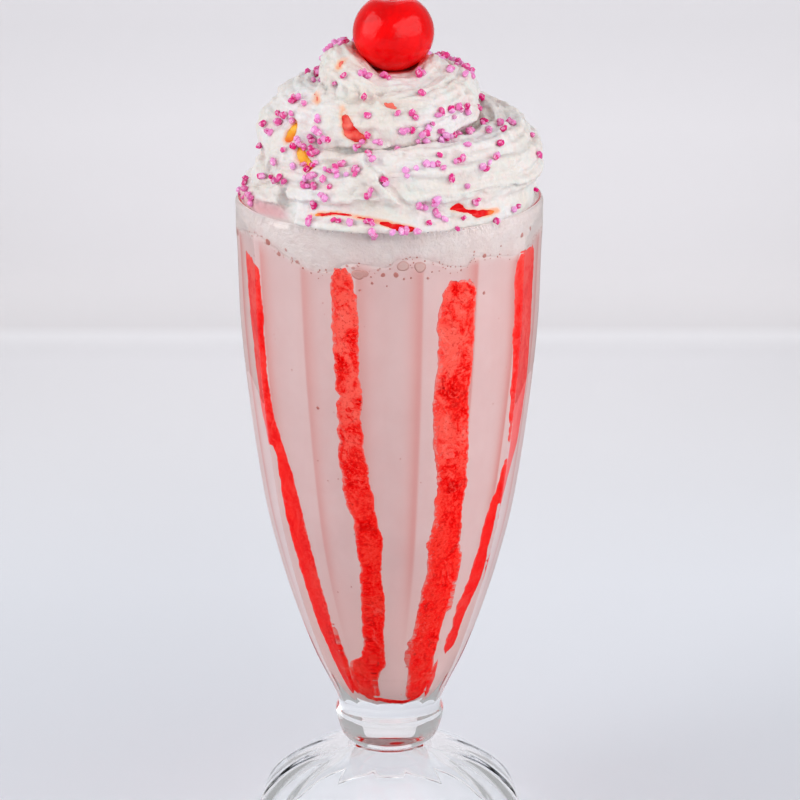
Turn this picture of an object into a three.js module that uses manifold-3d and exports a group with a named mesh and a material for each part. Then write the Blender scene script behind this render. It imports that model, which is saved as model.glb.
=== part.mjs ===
// Strawberry milkshake in its tall footed soda glass.
// Millimetres, +Z up. Origin: centre of the foot's resting ring, on the surface it stands on.
// The front of the drink faces -Y. Pieces: glass, milkshake, whipped_cream, cherry.

import * as THREE from 'three';
import { mergeVertices } from 'three/addons/utils/BufferGeometryUtils.js';
import Module from 'manifold-3d';

const wasm = await Module();
wasm.setup();

// ---------------------------------------------------------------- driving dimensions
const GLASS_HEIGHT = 184;          // foot to rim
const RIM_RADIUS = 43;             // outside of the smooth rim band
const RIM_WALL = 2.8;              // wall at the lip
const RIM_BAND = 5.5;              // height of the smooth band above the flutes
const FLUTES = 15;                 // long panels round the bowl and the foot
const FLUTE_CONCAVITY = 1.22;      // 1 = flat panel, more = hollowed
const SEGMENTS = FLUTES * 4;       // steps round the glass, four to a panel

const BOWL_BASE_Z = 34.2;          // where the bowl meets the collar
const BOWL_BASE_R = 14.9;
const COLLAR_TOP = [15.6, 32.0];   // radius, height
const COLLAR_MID = [14.4, 26.6];
const COLLAR_LOW = [12.3, 22.9];
const FOOT_RADIUS = 38.5;
const FOOT_RING_OUT = 37.0;        // flat ring the glass stands on
const FOOT_RING_IN = 35.0;
const FOOT_HOLLOW = 18.2;          // height of the hollow under the foot

const CAVITY_FLOOR = 36.6;         // bottom of the inside
const FILL_LEVEL = 175.0;          // top of the milkshake, where the cream begins
const FILL_WAVE = 1.6;             // how uneven that line is at the wall
const GAP = 0.3;                   // clearance between touching pieces

const CREAM_SEGMENTS = 60;
const CREAM_TOP = 222.4;
const RIDGES = 5;                  // ridges that the star nozzle leaves on half of the rope
const RIDGE_DEPTH = 0.09;          // as a part of the rope's radius

const CHERRY_DIAMETER = 22;
const CHERRY_WIDTH = 1.04;         // a little wider than high
const CHERRY_DEPTH = 0.985;
const CHERRY_CENTRE = [1.1, 0, 230.3];
const CHERRY_DIMPLE = 2.2;

// ---------------------------------------------------------------- helpers
const TAU = Math.PI * 2;
const clamp01 = (t) => Math.min(1, Math.max(0, t));
const smooth = (t) => { const s = clamp01(t); return s * s * (3 - 2 * s); };

// A smooth curve through a few named stations (monotone cubic).
function stations(xs, ys) {
  const n = xs.length;
  const d = [], m = new Array(n).fill(0);
  for (let i = 0; i < n - 1; i++) d.push((ys[i + 1] - ys[i]) / (xs[i + 1] - xs[i]));
  m[0] = d[0]; m[n - 1] = d[n - 2];
  for (let i = 1; i < n - 1; i++) m[i] = d[i - 1] * d[i] <= 0 ? 0 : 2 * d[i - 1] * d[i] / (d[i - 1] + d[i]);
  return (x) => {
    if (x <= xs[0]) return ys[0];
    if (x >= xs[n - 1]) return ys[n - 1];
    let i = 0;
    while (x > xs[i + 1]) i++;
    const h = xs[i + 1] - xs[i], t = (x - xs[i]) / h, t2 = t * t, t3 = t2 * t;
    return (2 * t3 - 3 * t2 + 1) * ys[i] + (t3 - 2 * t2 + t) * h * m[i] + (3 * t2 - 2 * t3) * ys[i + 1] + (t3 - t2) * h * m[i + 1];
  };
}

// A closed body from rings that start and end on the axis. Each ring is a function of the
// azimuth giving [radius, height]; azimuth 0 faces -Y and grows towards +X.
function ringBody(start, rings, end, segments) {
  const pos = [0, 0, start];
  const idx = [];
  for (const ring of rings) {
    for (let i = 0; i < segments; i++) {
      const a = (i / segments) * TAU;
      const [r, z] = ring(a);
      pos.push(r * Math.sin(a), -r * Math.cos(a), z);
    }
  }
  const last = pos.length / 3;
  pos.push(0, 0, end);
  const at = (k, i) => 1 + k * segments + (i % segments);
  for (let i = 0; i < segments; i++) idx.push(0, at(0, i + 1), at(0, i));
  for (let k = 0; k < rings.length - 1; k++) {
    for (let i = 0; i < segments; i++) {
      idx.push(at(k, i), at(k, i + 1), at(k + 1, i + 1));
      idx.push(at(k, i), at(k + 1, i + 1), at(k + 1, i));
    }
  }
  const k = rings.length - 1;
  for (let i = 0; i < segments; i++) idx.push(last, at(k, i), at(k, i + 1));
  const g = new THREE.BufferGeometry();
  g.setAttribute('position', new THREE.Float32BufferAttribute(pos, 3));
  g.setIndex(idx);
  return g;
}

function toSolid(geometry) {
  const g = geometry.clone();
  g.deleteAttribute('normal');
  g.deleteAttribute('uv');
  const m = mergeVertices(g, 1e-4);
  return new wasm.Manifold(new wasm.Mesh({
    numProp: 3,
    vertProperties: new Float32Array(m.attributes.position.array),
    triVerts: new Uint32Array(m.index.array),
  }));
}

function toGeometry(solid) {
  const m = solid.getMesh();
  const pos = [];
  for (let i = 0; i < m.vertProperties.length; i += m.numProp) {
    pos.push(m.vertProperties[i], m.vertProperties[i + 1], m.vertProperties[i + 2]);
  }
  const g = new THREE.BufferGeometry();
  g.setAttribute('position', new THREE.Float32BufferAttribute(pos, 3));
  g.setIndex(Array.from(m.triVerts));
  return g;
}

function mesh(name, geometry, color, roughness, extra = {}) {
  geometry.computeVertexNormals();
  const m = new THREE.Mesh(geometry, new THREE.MeshStandardMaterial({ color, roughness, metalness: 0, ...extra }));
  m.name = name;
  return m;
}

// ---------------------------------------------------------------- glass
// Outside of the bowl, measured over the ridges between the panels.
const bowlOuter = stations(
  [BOWL_BASE_Z, 39.8, 48.9, 64.1, 79.2, 94.3, 109.2, 124, 138.7, 153.4, 170, GLASS_HEIGHT - RIM_BAND, GLASS_HEIGHT],
  [BOWL_BASE_R, 16.8, 21.0, 26.7, 31.3, 34.95, 37.4, 39.4, 41.0, 42.1, 42.6, 43.0, 43.0]);

// Inside of the bowl: round, with a thick bottom.
const bowlInner = stations(
  [CAVITY_FLOOR, 37.2, 39.0, 43.0, 50.0, 62.0, 79.2, 94.3, 109.2, 124, 138.7, 153.4, 170, GLASS_HEIGHT],
  [0, 5.0, 8.0, 11.2, 15.2, 20.8, 26.6, 30.4, 33.0, 35.1, 36.9, 38.2, 39.4, RIM_RADIUS - RIM_WALL]);
// Heights at which the inside is stepped, the same for the glass and for the drink in it.
const INNER_STEPS = [41, 48, 60, 78, 100, 125, 150, 170];

// Foot: a low dome with a rounded edge.
const footTop = stations([12.3, 15, 20, 25, 30, 34, 36.6, 38.1], [22.4, 21.4, 19.5, 17.1, 14.0, 10.4, 6.9, 2.6]);
// Its underside, so that the foot is a shell open at the bottom.
const footUnder = stations([0, 6, 10, 15, 20, 25, 29, 32, 34, FOOT_RING_IN], [FOOT_HOLLOW, 17.9, 17.2, 15.8, 13.9, 11.2, 8.2, 5.0, 1.9, 0]);

// How far a point of a panel lies inside the ridge circle. Ridges sit at half a panel
// either side of the front.
function fluteDepth(azimuth, ridgeRadius, share) {
  const half = Math.PI / FLUTES;
  let d = azimuth % (2 * half);
  if (d > half) d -= 2 * half;
  const t = d / half;
  return share * FLUTE_CONCAVITY * ridgeRadius * half * half / 2 * (1 - t * t);
}

function glassGeometry() {
  const rings = [];
  const plain = (r, z) => rings.push(() => [r, z]);
  const fluted = (r, z, share) => rings.push((a) => [r - fluteDepth(a, r, share), z]);

  // hollow underneath, then the flat ring
  for (const r of [10, 18, 25, 30, 33.2]) plain(r, footUnder(r));
  plain(FOOT_RING_IN, 0);
  plain(FOOT_RING_OUT, 0);
  // edge and top of the foot
  fluted(FOOT_RADIUS, 1.3, 0.7);
  for (const r of [38.1, 36.2, 32.5, 27, 20]) fluted(r, footTop(r), r < 25 ? 0.7 : 1);
  plain(14.0, footTop(14.0));
  // collar
  plain(...COLLAR_LOW);
  plain(...COLLAR_MID);
  plain(...COLLAR_TOP);
  // bowl
  plain(BOWL_BASE_R, BOWL_BASE_Z);
  for (const z of [39.8, 48.9, 64.1, 79.2, 94.3, 115, 138.7, 160, 174]) fluted(bowlOuter(z), z, smooth((z - BOWL_BASE_Z + 2) / 8));
  plain(RIM_RADIUS, GLASS_HEIGHT - RIM_BAND);
  // rounded lip
  const lip = RIM_WALL / 2;
  plain(RIM_RADIUS, GLASS_HEIGHT - lip);
  plain(RIM_RADIUS - lip, GLASS_HEIGHT);
  plain(RIM_RADIUS - RIM_WALL, GLASS_HEIGHT - lip);
  // inside, downwards
  for (const z of [...INNER_STEPS].reverse()) plain(bowlInner(z), z);
  plain(5.0, 37.2);
  return ringBody(FOOT_HOLLOW, rings, CAVITY_FLOOR, SEGMENTS);
}

// ---------------------------------------------------------------- milkshake
// The line between drink and cream is uneven where it meets the wall.
function fillLine(azimuth, radius) {
  const wave = 0.5 * Math.sin(azimuth + 2.6) + 0.3 * Math.sin(2 * azimuth + 0.7) + 0.2 * Math.sin(5 * azimuth + 1.9);
  return FILL_LEVEL + FILL_WAVE * wave * smooth(radius / 38);
}

// Inside profile moved in by the gap, measured square to the wall.
function insetInner(z) {
  const e = 0.4;
  const slope = (bowlInner(z + e) - bowlInner(z - e)) / (2 * e);
  return bowlInner(z) - GAP * Math.sqrt(1 + slope * slope);
}

function milkshakeGeometry() {
  const rings = [];
  rings.push(() => [5.0 - GAP, 37.2 + GAP * 1.6]);
  for (const z of INNER_STEPS) rings.push(() => [insetInner(z), z]);
  const top = (r) => rings.push((a) => [r, fillLine(a, r)]);
  top(insetInner(FILL_LEVEL - FILL_WAVE));
  top(26);
  top(12);
  return ringBody(CAVITY_FLOOR + GAP * 1.6, rings, FILL_LEVEL, SEGMENTS);
}

// ---------------------------------------------------------------- whipped cream
// One rope from a star nozzle, wound up into a swirl. The turn counter u is a whole number
// at the front (-Y) and grows to the right (+X), round the back and up to the left.
const TURNS = [-0.35, -0.12, 0, 0.25, 0.5, 0.75, 1, 1.25, 1.5, 1.75, 2, 2.3];
const ropeHeight = stations(TURNS, [188, 191, 193, 195, 200, 206.5, 208.5, 212.3, 215.5, 218.2, 214.6, 218.0]);
const ropeRadius = stations(TURNS, [6.5, 9.6, 10.6, 11.6, 11.6, 9.4, 8.6, 8.0, 7.4, 6.6, 6.0, 5.0]);
const pathRadius = stations(TURNS, [29, 29, 28.6, 30.8, 28.0, 22.6, 21.0, 16.6, 15.4, 12.9, 12.2, 11.6]);

// What the rope is wound on: the cream in the mouth of the glass, closing up round the cherry.
const coreRadius = stations([186, 191, 197, 206, 214, 220, CREAM_TOP], [39.0, 36.0, 29, 20, 15.5, 13.0, 10.8]);

function creamRadius(azimuth, z) {
  let best = coreRadius(z) + 0.7 * Math.sin(3 * azimuth + 0.6);
  for (let u = azimuth / TAU - 1; u <= TURNS[TURNS.length - 1]; u++) {
    if (u < TURNS[0]) continue;
    const side = z - ropeHeight(u), a = ropeRadius(u), p = pathRadius(u);
    if (Math.abs(side) >= a) continue;
    const psi = Math.asin(side / a);
    const grown = a * (1 + RIDGE_DEPTH * Math.cos(2 * RIDGES * psi + 9 * u));
    best = Math.max(best, p + Math.sqrt(Math.max(grown * grown - side * side, 0)));
  }
  return best;
}

function creamGeometry() {
  const rings = [];
  const bottom = (r) => rings.push((a) => [r, fillLine(a, r) + GAP]);
  bottom(12);
  bottom(26);
  bottom(insetInner(178) - 0.05);
  const inside = (z) => rings.push(() => [insetInner(z), z]);
  inside(179.5);
  inside(GLASS_HEIGHT - 1.6);
  // over the lip, never touching it
  rings.push(() => [RIM_RADIUS - RIM_WALL, GLASS_HEIGHT + 0.6]);
  const steps = [187.0, 189.2, 191.4, 193.6, 195.8, 198, 200, 202, 204, 206, 208, 210, 211.8, 213.6, 215.4, 217.2, 219, 220.8];
  for (const z of steps) rings.push((a) => [Math.min(creamRadius(a, z), RIM_RADIUS - 0.15), z]);
  rings.push((a) => [10.4 + 0.5 * Math.sin(5 * a), CREAM_TOP + 0.4 * Math.sin(2 * a + 1)]);
  return ringBody(FILL_LEVEL + GAP, rings, CREAM_TOP - 1.2, CREAM_SEGMENTS);
}

// ---------------------------------------------------------------- cherry
function cherryGeometry(grow = 0) {
  const R = CHERRY_DIAMETER / 2 + grow;
  const profile = [];
  const n = 11;
  for (let i = 0; i <= n; i++) {
    const t = (i / n) * Math.PI;             // 0 at the bottom
    const r = R * CHERRY_WIDTH * Math.sin(t);
    let z = -R * CHERRY_DEPTH * Math.cos(t);
    if (t > Math.PI / 2) z -= (CHERRY_DIMPLE * Math.exp(-((r / 3.4) ** 2))) * (grow > 0 ? 0 : 1);
    profile.push(new THREE.Vector2(i === 0 || i === n ? 0 : r, z));
  }
  const g = new THREE.LatheGeometry(profile, 22);
  g.rotateX(Math.PI / 2);
  return g;
}

// ---------------------------------------------------------------- assembly
const group = new THREE.Group();

group.add(mesh('glass', glassGeometry(), 0xe6eaec, 0.05, { transparent: true, opacity: 0.35 }));
group.add(mesh('milkshake', milkshakeGeometry(), 0xe3c2bf, 0.45));

const seat = cherryGeometry(GAP);
seat.translate(...CHERRY_CENTRE);
const cream = toSolid(creamGeometry()).subtract(toSolid(seat));
group.add(mesh('whipped_cream', toGeometry(cream), 0xf6f4ee, 0.6));

const cherry = mesh('cherry', cherryGeometry(), 0xd4101c, 0.12);
cherry.position.set(...CHERRY_CENTRE);
group.add(cherry);

export default group;
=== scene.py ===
import math

import bpy
import numpy as np
import openvdb
from mathutils import Matrix, Vector
from mathutils.bvhtree import BVHTree


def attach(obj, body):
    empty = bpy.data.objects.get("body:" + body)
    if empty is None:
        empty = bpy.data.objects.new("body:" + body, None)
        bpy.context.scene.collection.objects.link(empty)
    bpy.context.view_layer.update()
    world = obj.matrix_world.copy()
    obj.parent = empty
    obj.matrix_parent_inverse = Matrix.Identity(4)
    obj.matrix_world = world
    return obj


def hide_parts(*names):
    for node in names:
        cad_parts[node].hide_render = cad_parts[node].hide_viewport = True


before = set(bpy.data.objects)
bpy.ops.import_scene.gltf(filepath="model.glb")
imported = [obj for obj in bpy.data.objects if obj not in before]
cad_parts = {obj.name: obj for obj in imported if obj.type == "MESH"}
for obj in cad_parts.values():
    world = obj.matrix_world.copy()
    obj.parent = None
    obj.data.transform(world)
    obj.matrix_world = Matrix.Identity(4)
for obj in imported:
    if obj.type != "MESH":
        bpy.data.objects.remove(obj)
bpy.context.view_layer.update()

# Lengths below are millimetres, turned into metres when a mesh is made. Azimuth 0 faces the
# front (-Y) and grows towards +X, so a point is (r sin a, -r cos a, z).
MM = 0.001
TAU = 2 * math.pi
scene = bpy.context.scene


# ------------------------------------------------------------------ small tools
def smooth(t):
    t = np.clip(t, 0.0, 1.0)
    return t * t * (3 - 2 * t)


def stations(xs, ys):
    """A smooth curve through a few named stations (monotone cubic)."""
    xs, ys = np.array(xs, float), np.array(ys, float)
    d = np.diff(ys) / np.diff(xs)
    m = np.zeros(len(xs))
    m[0], m[-1] = d[0], d[-1]
    for i in range(1, len(xs) - 1):
        m[i] = 0 if d[i - 1] * d[i] <= 0 else 2 * d[i - 1] * d[i] / (d[i - 1] + d[i])

    def at(x):
        x = np.clip(np.asarray(x, float), xs[0], xs[-1])
        i = np.clip(np.searchsorted(xs, x) - 1, 0, len(xs) - 2)
        h = xs[i + 1] - xs[i]
        t = (x - xs[i]) / h
        return ((2 * t**3 - 3 * t**2 + 1) * ys[i] + (t**3 - 2 * t**2 + t) * h * m[i]
                + (3 * t**2 - 2 * t**3) * ys[i + 1] + (t**3 - t**2) * h * m[i + 1])
    return at


_table = np.random.default_rng(11).random((32, 32, 32)).astype(np.float32)


def noise(p, size, seed=0):
    """Smooth noise from -1 to 1; size is the width of one bump, in millimetres."""
    q = np.asarray(p, np.float32) / np.float32(size) + np.float32(17.31 * seed + 5.2)
    i = np.floor(q).astype(np.int32)
    f = q - i
    f = f * f * (3 - 2 * f)
    i %= 32
    j = (i + 1) % 32
    x0, y0, z0 = i[..., 0], i[..., 1], i[..., 2]
    x1, y1, z1 = j[..., 0], j[..., 1], j[..., 2]
    fx, fy, fz = f[..., 0], f[..., 1], f[..., 2]
    a = _table[x0, y0, z0] * (1 - fx) + _table[x1, y0, z0] * fx
    b = _table[x0, y1, z0] * (1 - fx) + _table[x1, y1, z0] * fx
    c = _table[x0, y0, z1] * (1 - fx) + _table[x1, y0, z1] * fx
    e = _table[x0, y1, z1] * (1 - fx) + _table[x1, y1, z1] * fx
    return 2 * ((a * (1 - fy) + b * fy) * (1 - fz) + (c * (1 - fy) + e * fy) * fz) - 1


def polar(r, a, z):
    r, a, z = np.broadcast_arrays(np.asarray(r, float), np.asarray(a, float), np.asarray(z, float))
    return np.stack([r * np.sin(a), -r * np.cos(a), z], -1)


def azimuth(p):
    return np.arctan2(p[..., 0], -p[..., 1])


def make(name, co, faces, smooth_shade=True, attributes=None):
    """A mesh object from millimetre points and faces."""
    me = bpy.data.meshes.new(name)
    me.from_pydata((np.asarray(co, float) * MM).tolist(), [], [list(f) for f in faces])
    me.validate()
    me.update()
    me.polygons.foreach_set("use_smooth", np.full(len(me.polygons), smooth_shade))
    for key, values in (attributes or {}).items():
        values = np.asarray(values, np.float32)
        if values.ndim == 1:
            me.attributes.new(key, "FLOAT", "POINT").data.foreach_set("value", values)
        else:
            colour = np.ones((len(values), 4), np.float32)
            colour[:, :3] = values
            me.attributes.new(key, "FLOAT_COLOR", "POINT").data.foreach_set("color", colour.ravel())
    o = bpy.data.objects.new(name, me)
    scene.collection.objects.link(o)
    return o


def ring_faces(rows, n, closed=True):
    """Quads between rings of n points each."""
    k, i = np.meshgrid(np.arange(rows - 1), np.arange(n if closed else n - 1), indexing="ij")
    i2 = (i + 1) % n
    return np.stack([k * n + i, k * n + i2, (k + 1) * n + i2, (k + 1) * n + i], -1).reshape(-1, 4)


def rings_mesh(rings, start, end):
    """Points and faces of a closed body: rings of points, shut at the axis at both ends."""
    n = rings.shape[1]
    co = np.concatenate([rings.reshape(-1, 3), [[0, 0, start], [0, 0, end]]])
    faces = ring_faces(rings.shape[0], n).tolist()
    first, last = len(co) - 2, len(co) - 1
    base = (rings.shape[0] - 1) * n
    for i in range(n):
        j = (i + 1) % n
        faces.append((first, j, i))
        faces.append((last, base + i, base + j))
    return co, faces


# ------------------------------------------------------------------ camera
CAMERA_DISTANCE = 1400.0
CAMERA_ELEVATION = math.radians(17)
AIM_Z = 124.06
FOCAL_PIXELS = 4959.7
AXIS_PIXEL = 389.0          # the glass stands a little left of the frame's middle

yaw = -math.atan((400 - AXIS_PIXEL) / FOCAL_PIXELS)
eye = np.array([0, -CAMERA_DISTANCE * math.cos(CAMERA_ELEVATION),
                AIM_Z + CAMERA_DISTANCE * math.sin(CAMERA_ELEVATION)])
camera = bpy.data.cameras.new("camera")
camera.sensor_width = 36
camera.lens = FOCAL_PIXELS * 36 / 800
camera.clip_start, camera.clip_end = 0.05, 20
camera_object = bpy.data.objects.new("camera", camera)
camera_object.location = Vector(eye * MM)
camera_object.rotation_euler = (math.pi / 2 - CAMERA_ELEVATION, 0, yaw)
scene.collection.objects.link(camera_object)
scene.camera = camera_object

_turn = np.array([[math.cos(yaw), -math.sin(yaw), 0], [math.sin(yaw), math.cos(yaw), 0], [0, 0, 1]])
view_f = _turn @ np.array([0, math.cos(CAMERA_ELEVATION), -math.sin(CAMERA_ELEVATION)])
view_r = _turn @ np.array([1.0, 0, 0])
view_u = np.cross(view_r, view_f)


def view_ray(x, y):
    d = view_f + view_r * ((x - 400) / FOCAL_PIXELS) + view_u * ((400 - y) / FOCAL_PIXELS)
    return d / np.linalg.norm(d)


def to_pixel(p):
    d = np.asarray(p, float) - eye
    z = d @ view_f
    return 400 + FOCAL_PIXELS * (d @ view_r) / z, 400 - FOCAL_PIXELS * (d @ view_u) / z


# ------------------------------------------------------------------ node helpers
class Nodes:
    def __init__(self, name):
        self.material = bpy.data.materials.new(name)
        self.material.use_nodes = True
        self.tree = self.material.node_tree
        self.shader = self.tree.nodes["Principled BSDF"]
        self.output = self.tree.nodes["Material Output"]
        self.space = self.new("ShaderNodeTexCoord").outputs["Object"]

    def new(self, kind, **values):
        n = self.tree.nodes.new(kind)
        for key, value in values.items():
            setattr(n, key, value)
        return n

    def link(self, a, b):
        self.tree.links.new(a, b)

    def put(self, socket, value):
        if hasattr(value, "is_output"):
            self.link(value, socket)
        else:
            socket.default_value = value

    def noise(self, scale, detail=2.0, roughness=0.5, distortion=0.0, vector=None, kind="ShaderNodeTexNoise"):
        n = self.new(kind)
        n.inputs["Scale"].default_value = scale
        n.inputs["Detail"].default_value = detail
        n.inputs["Roughness"].default_value = roughness
        if kind == "ShaderNodeTexNoise":
            n.inputs["Distortion"].default_value = distortion
        self.link(vector or self.space, n.inputs["Vector"])
        return n.outputs["Fac"]

    def cells(self, scale, feature="F1", vector=None, randomness=1.0):
        n = self.new("ShaderNodeTexVoronoi", feature=feature)
        n.inputs["Scale"].default_value = scale
        n.inputs["Randomness"].default_value = randomness
        self.link(vector or self.space, n.inputs["Vector"])
        return n.outputs["Distance"]

    def scaled(self, sx, sy, sz):
        n = self.new("ShaderNodeMapping")
        n.inputs["Scale"].default_value = (sx, sy, sz)
        self.link(self.space, n.inputs["Vector"])
        return n.outputs["Vector"]

    def map(self, value, a, b, c=0.0, d=1.0, soft=True):
        n = self.new("ShaderNodeMapRange", interpolation_type="SMOOTHSTEP" if soft else "LINEAR")
        for key, v in (("Value", value), ("From Min", a), ("From Max", b), ("To Min", c), ("To Max", d)):
            self.put(n.inputs[key], v)
        return n.outputs["Result"]

    def math(self, operation, a, b=0.0, clamp=False):
        n = self.new("ShaderNodeMath", operation=operation, use_clamp=clamp)
        self.put(n.inputs[0], a)
        self.put(n.inputs[1], b)
        return n.outputs[0]

    def mix(self, fac, a, b):
        n = self.new("ShaderNodeMix", data_type="RGBA")
        self.put(n.inputs[0], fac)
        self.put(n.inputs[6], (*a, 1) if isinstance(a, tuple) else a)
        self.put(n.inputs[7], (*b, 1) if isinstance(b, tuple) else b)
        return n.outputs[2]

    def height(self):
        n = self.new("ShaderNodeSeparateXYZ")
        self.link(self.space, n.inputs[0])
        return n.outputs["Z"]

    def attribute(self, name, colour=False):
        n = self.new("ShaderNodeAttribute", attribute_name=name)
        return n.outputs["Color" if colour else "Fac"]

    def bump(self, height, strength, distance, normal=None):
        n = self.new("ShaderNodeBump")
        n.inputs["Strength"].default_value = strength
        n.inputs["Distance"].default_value = distance
        self.link(height, n.inputs["Height"])
        if normal is not None:
            self.link(normal, n.inputs["Normal"])
        return n.outputs["Normal"]

    def set(self, **values):
        for key, value in values.items():
            self.put(self.shader.inputs[key.replace("_", " ")], value)


def srgb(r, g, b):
    return tuple((v / 255 / 12.92) if v / 255 <= 0.04045 else ((v / 255 + 0.055) / 1.055) ** 2.4 for v in (r, g, b))


# ------------------------------------------------------------------ glass
FLUTES = 15
HALF = math.pi / FLUTES
RIM_RADIUS, RIM_WALL, GLASS_HEIGHT = 43.0, 2.8, 184.0
FOOT_HOLLOW = 18.2
bowl_outer = stations([35.2, 39.8, 48.9, 64.1, 79.2, 94.3, 109.2, 124, 138.7, 153.4, 170, 178.5, 184],
                      [14.6, 16.6, 21.0, 26.7, 31.3, 34.95, 37.4, 39.4, 41.0, 42.1, 42.6, 43, 43])
bowl_inner = stations([36.6, 37.2, 39, 43, 50, 62, 79.2, 94.3, 109.2, 124, 138.7, 153.4, 170, 184],
                      [0, 5.0, 8.0, 11.2, 15.2, 20.8, 26.6, 30.4, 33.0, 35.1, 36.9, 38.2, 39.4, 40.2])
foot_under = stations([0, 6, 10, 15, 20, 25, 29, 32, 34, 35.0], [18.2, 17.9, 17.2, 15.8, 13.9, 11.2, 8.2, 5.0, 1.9, 0.12])
foot_top = stations([10.9, 12.3, 15, 20, 25, 30, 34, 36.6, 38.1], [22.5, 22.2, 21.4, 19.5, 17.1, 14.0, 10.4, 6.9, 2.6])


def flute(a, ridge_radius):
    """How deep a hollowed panel lies inside the ridge circle."""
    d = (a + HALF) % (2 * HALF) - HALF
    t = d / HALF
    return 1.22 * ridge_radius * HALF * HALF / 2 * (1 - t * t)


def glass_rings(segments):
    a = np.arange(segments) / segments * TAU
    rows = []

    def plain(r, z):
        rows.append(polar(r, a, z))

    def fluted(r, z, share, rise=0.0):
        x = flute(a, r) * share - rise
        depth = 0.5 * (x + np.sqrt(x * x + 0.03**2))
        rows.append(polar(r - depth, a, z))

    # shallow dome underneath and the ring it stands on
    for r in np.concatenate([np.linspace(2.0, 28, 16), np.linspace(29, 34.6, 10)]):
        plain(r, float(foot_under(r)))
    plain(35.0, 0.12)
    plain(35.3, 0.0)
    plain(36.6, 0.0)
    plain(37.2, 0.15)
    # rounded edge of the foot
    for r, z in ((37.95, 0.55), (38.35, 1.15), (38.5, 1.9)):
        fluted(r, z, 0.55)
    # top of the foot: panels fade out towards the collar
    for r in np.concatenate([[38.1, 37.7], np.linspace(37.1, 11.3, 36)]):
        fluted(r, float(foot_top(r)), 0.55 + 0.45 * float(smooth((38.3 - r) / 3)) if r > 30 else float(smooth((r - 14.5) / 9)))
    # collar: a rounded ring above a small waist
    collar = stations([22.5, 22.8, 23.2, 23.8, 24.6, 25.8, 27.4, 29.4, 30.6, 31.6, 32.4, 33.1, 33.8, 34.5, 35.2],
                      [10.9, 11.05, 11.7, 12.6, 13.3, 13.95, 14.55, 15.1, 15.33, 15.42, 15.36, 15.15, 14.9, 14.7, 14.6])
    for z in (22.65, 22.8, 23.0, 23.2, 23.5, 23.8, 24.2, 24.6, 25.2, 25.8, 26.6, 27.4, 28.4, 29.4, 30.2, 31.0, 31.5, 31.9, 32.2, 32.4, 32.7, 32.9, 33.2, 33.6, 34.0, 34.4, 34.8):
        plain(float(collar(z)), z)
    # bowl
    for z in np.concatenate([np.arange(35.4, 60, 0.9), np.arange(60, 171, 1.5), np.arange(171, 181.8, 0.36)]):
        rise = 1.2 * max(0.0, (z - 172.5) / 8.3) ** 2
        fluted(float(bowl_outer(z)), z, float(smooth((z - 33.2) / 8)), rise)
    for z in (181.9, 182.3):
        plain(43.0, z)
    lip = RIM_WALL / 2
    for t in np.linspace(0, math.pi, 15):
        plain(41.6 + lip * math.cos(t), GLASS_HEIGHT - lip + lip * math.sin(t))
    for z in np.concatenate([np.arange(182, 60, -2.0), np.arange(60, 39, -1.0), [38.6, 38.0, 37.5, 37.2]]):
        plain(float(bowl_inner(z)), z)
    plain(3.0, 36.85)
    plain(1.5, 36.66)
    return np.stack(rows)


def glass_material():
    n = Nodes("clear_glass")
    body = n.noise(22, 3, 0.55)
    n.set(Base_Color=n.mix(n.map(body, 0.3, 0.7), (0.985, 0.99, 0.99), (0.997, 0.998, 0.997)),
          Roughness=n.map(n.noise(60, 3), 0.35, 0.75, 0.0, 0.012),
          IOR=1.42, Transmission_Weight=1.0, Specular_Tint=(0.4, 0.4, 0.4, 1))
    # pressed glass is never quite even: long soft waves
    waves = n.noise(26, 2, 0.5, vector=n.scaled(1, 1, 0.35))
    n.set(Normal=n.bump(waves, 0.12, 0.0009))
    return n.material


co, faces = rings_mesh(glass_rings(240), FOOT_HOLLOW, 36.6)
glass = make("footed_glass", co, faces)
glass.data.materials.append(glass_material())
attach(glass, "root")
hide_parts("glass")
glass.visible_shadow = False      # clear glass throws next to no shadow

# ------------------------------------------------------------------ milkshake
# The uneven line between drink and cream at the wall, by azimuth in degrees.
LINE_AT = [-180, -150, -120, -90, -72, -60, -50, -37, -30, -23.6, -15, -8, -1.7, 4, 10, 15.4, 24, 31, 35, 45, 61.5, 80, 110, 140, 160, 180]
LINE_Z = [174.6, 176.3, 173.2, 175.0, 177.2, 178.0, 176.0, 172.9, 171.7, 172.0, 175.0, 174.6, 174.0, 176.8, 176.9, 176.0, 173.4, 173.0, 175.4, 174.2, 172.6, 175.2, 177.0, 173.6, 176.2, 174.6]
_line = stations(LINE_AT, LINE_Z)


def fill_line(a):
    """Height of the drink at the wall; a in radians, any turn."""
    a = (np.asarray(a, float) + math.pi) % TAU - math.pi
    p = polar(38, a, 175)
    return _line(np.degrees(a)) + 0.45 * noise(p, 2.6, 3) + 0.2 * noise(p, 1.1, 4)


def shake_body():
    a = np.arange(480) / 480 * TAU
    heights = np.concatenate([[37.0, 37.4, 38.0, 38.8], np.arange(40, 60, 1.5), np.arange(60, 170.1, 2.2)])
    rows = [polar(max(float(bowl_inner(z)) + 0.06, 3.2), a, z) for z in heights]
    rows[0] = polar(3.2, a, 36.84)
    top = fill_line(a)
    for t in (0.25, 0.5, 0.75, 1.0):
        z = 170.1 + (top - 170.1) * t
        rows.append(polar(bowl_inner(z) + 0.06, a, z))
    for r in (37.5, 34, 28, 20, 10, 3):
        rows.append(polar(r, a, top + 0.2 * (1 - r / 40)))
    rings = np.stack(rows)
    return rings_mesh(rings, 36.7, 175.0)


RIDGE_BANDS = [-84, -60, -36, -12, 12, 36, 60, 84, 108, 132, 156, 180, -156, -132, -108]


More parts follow.
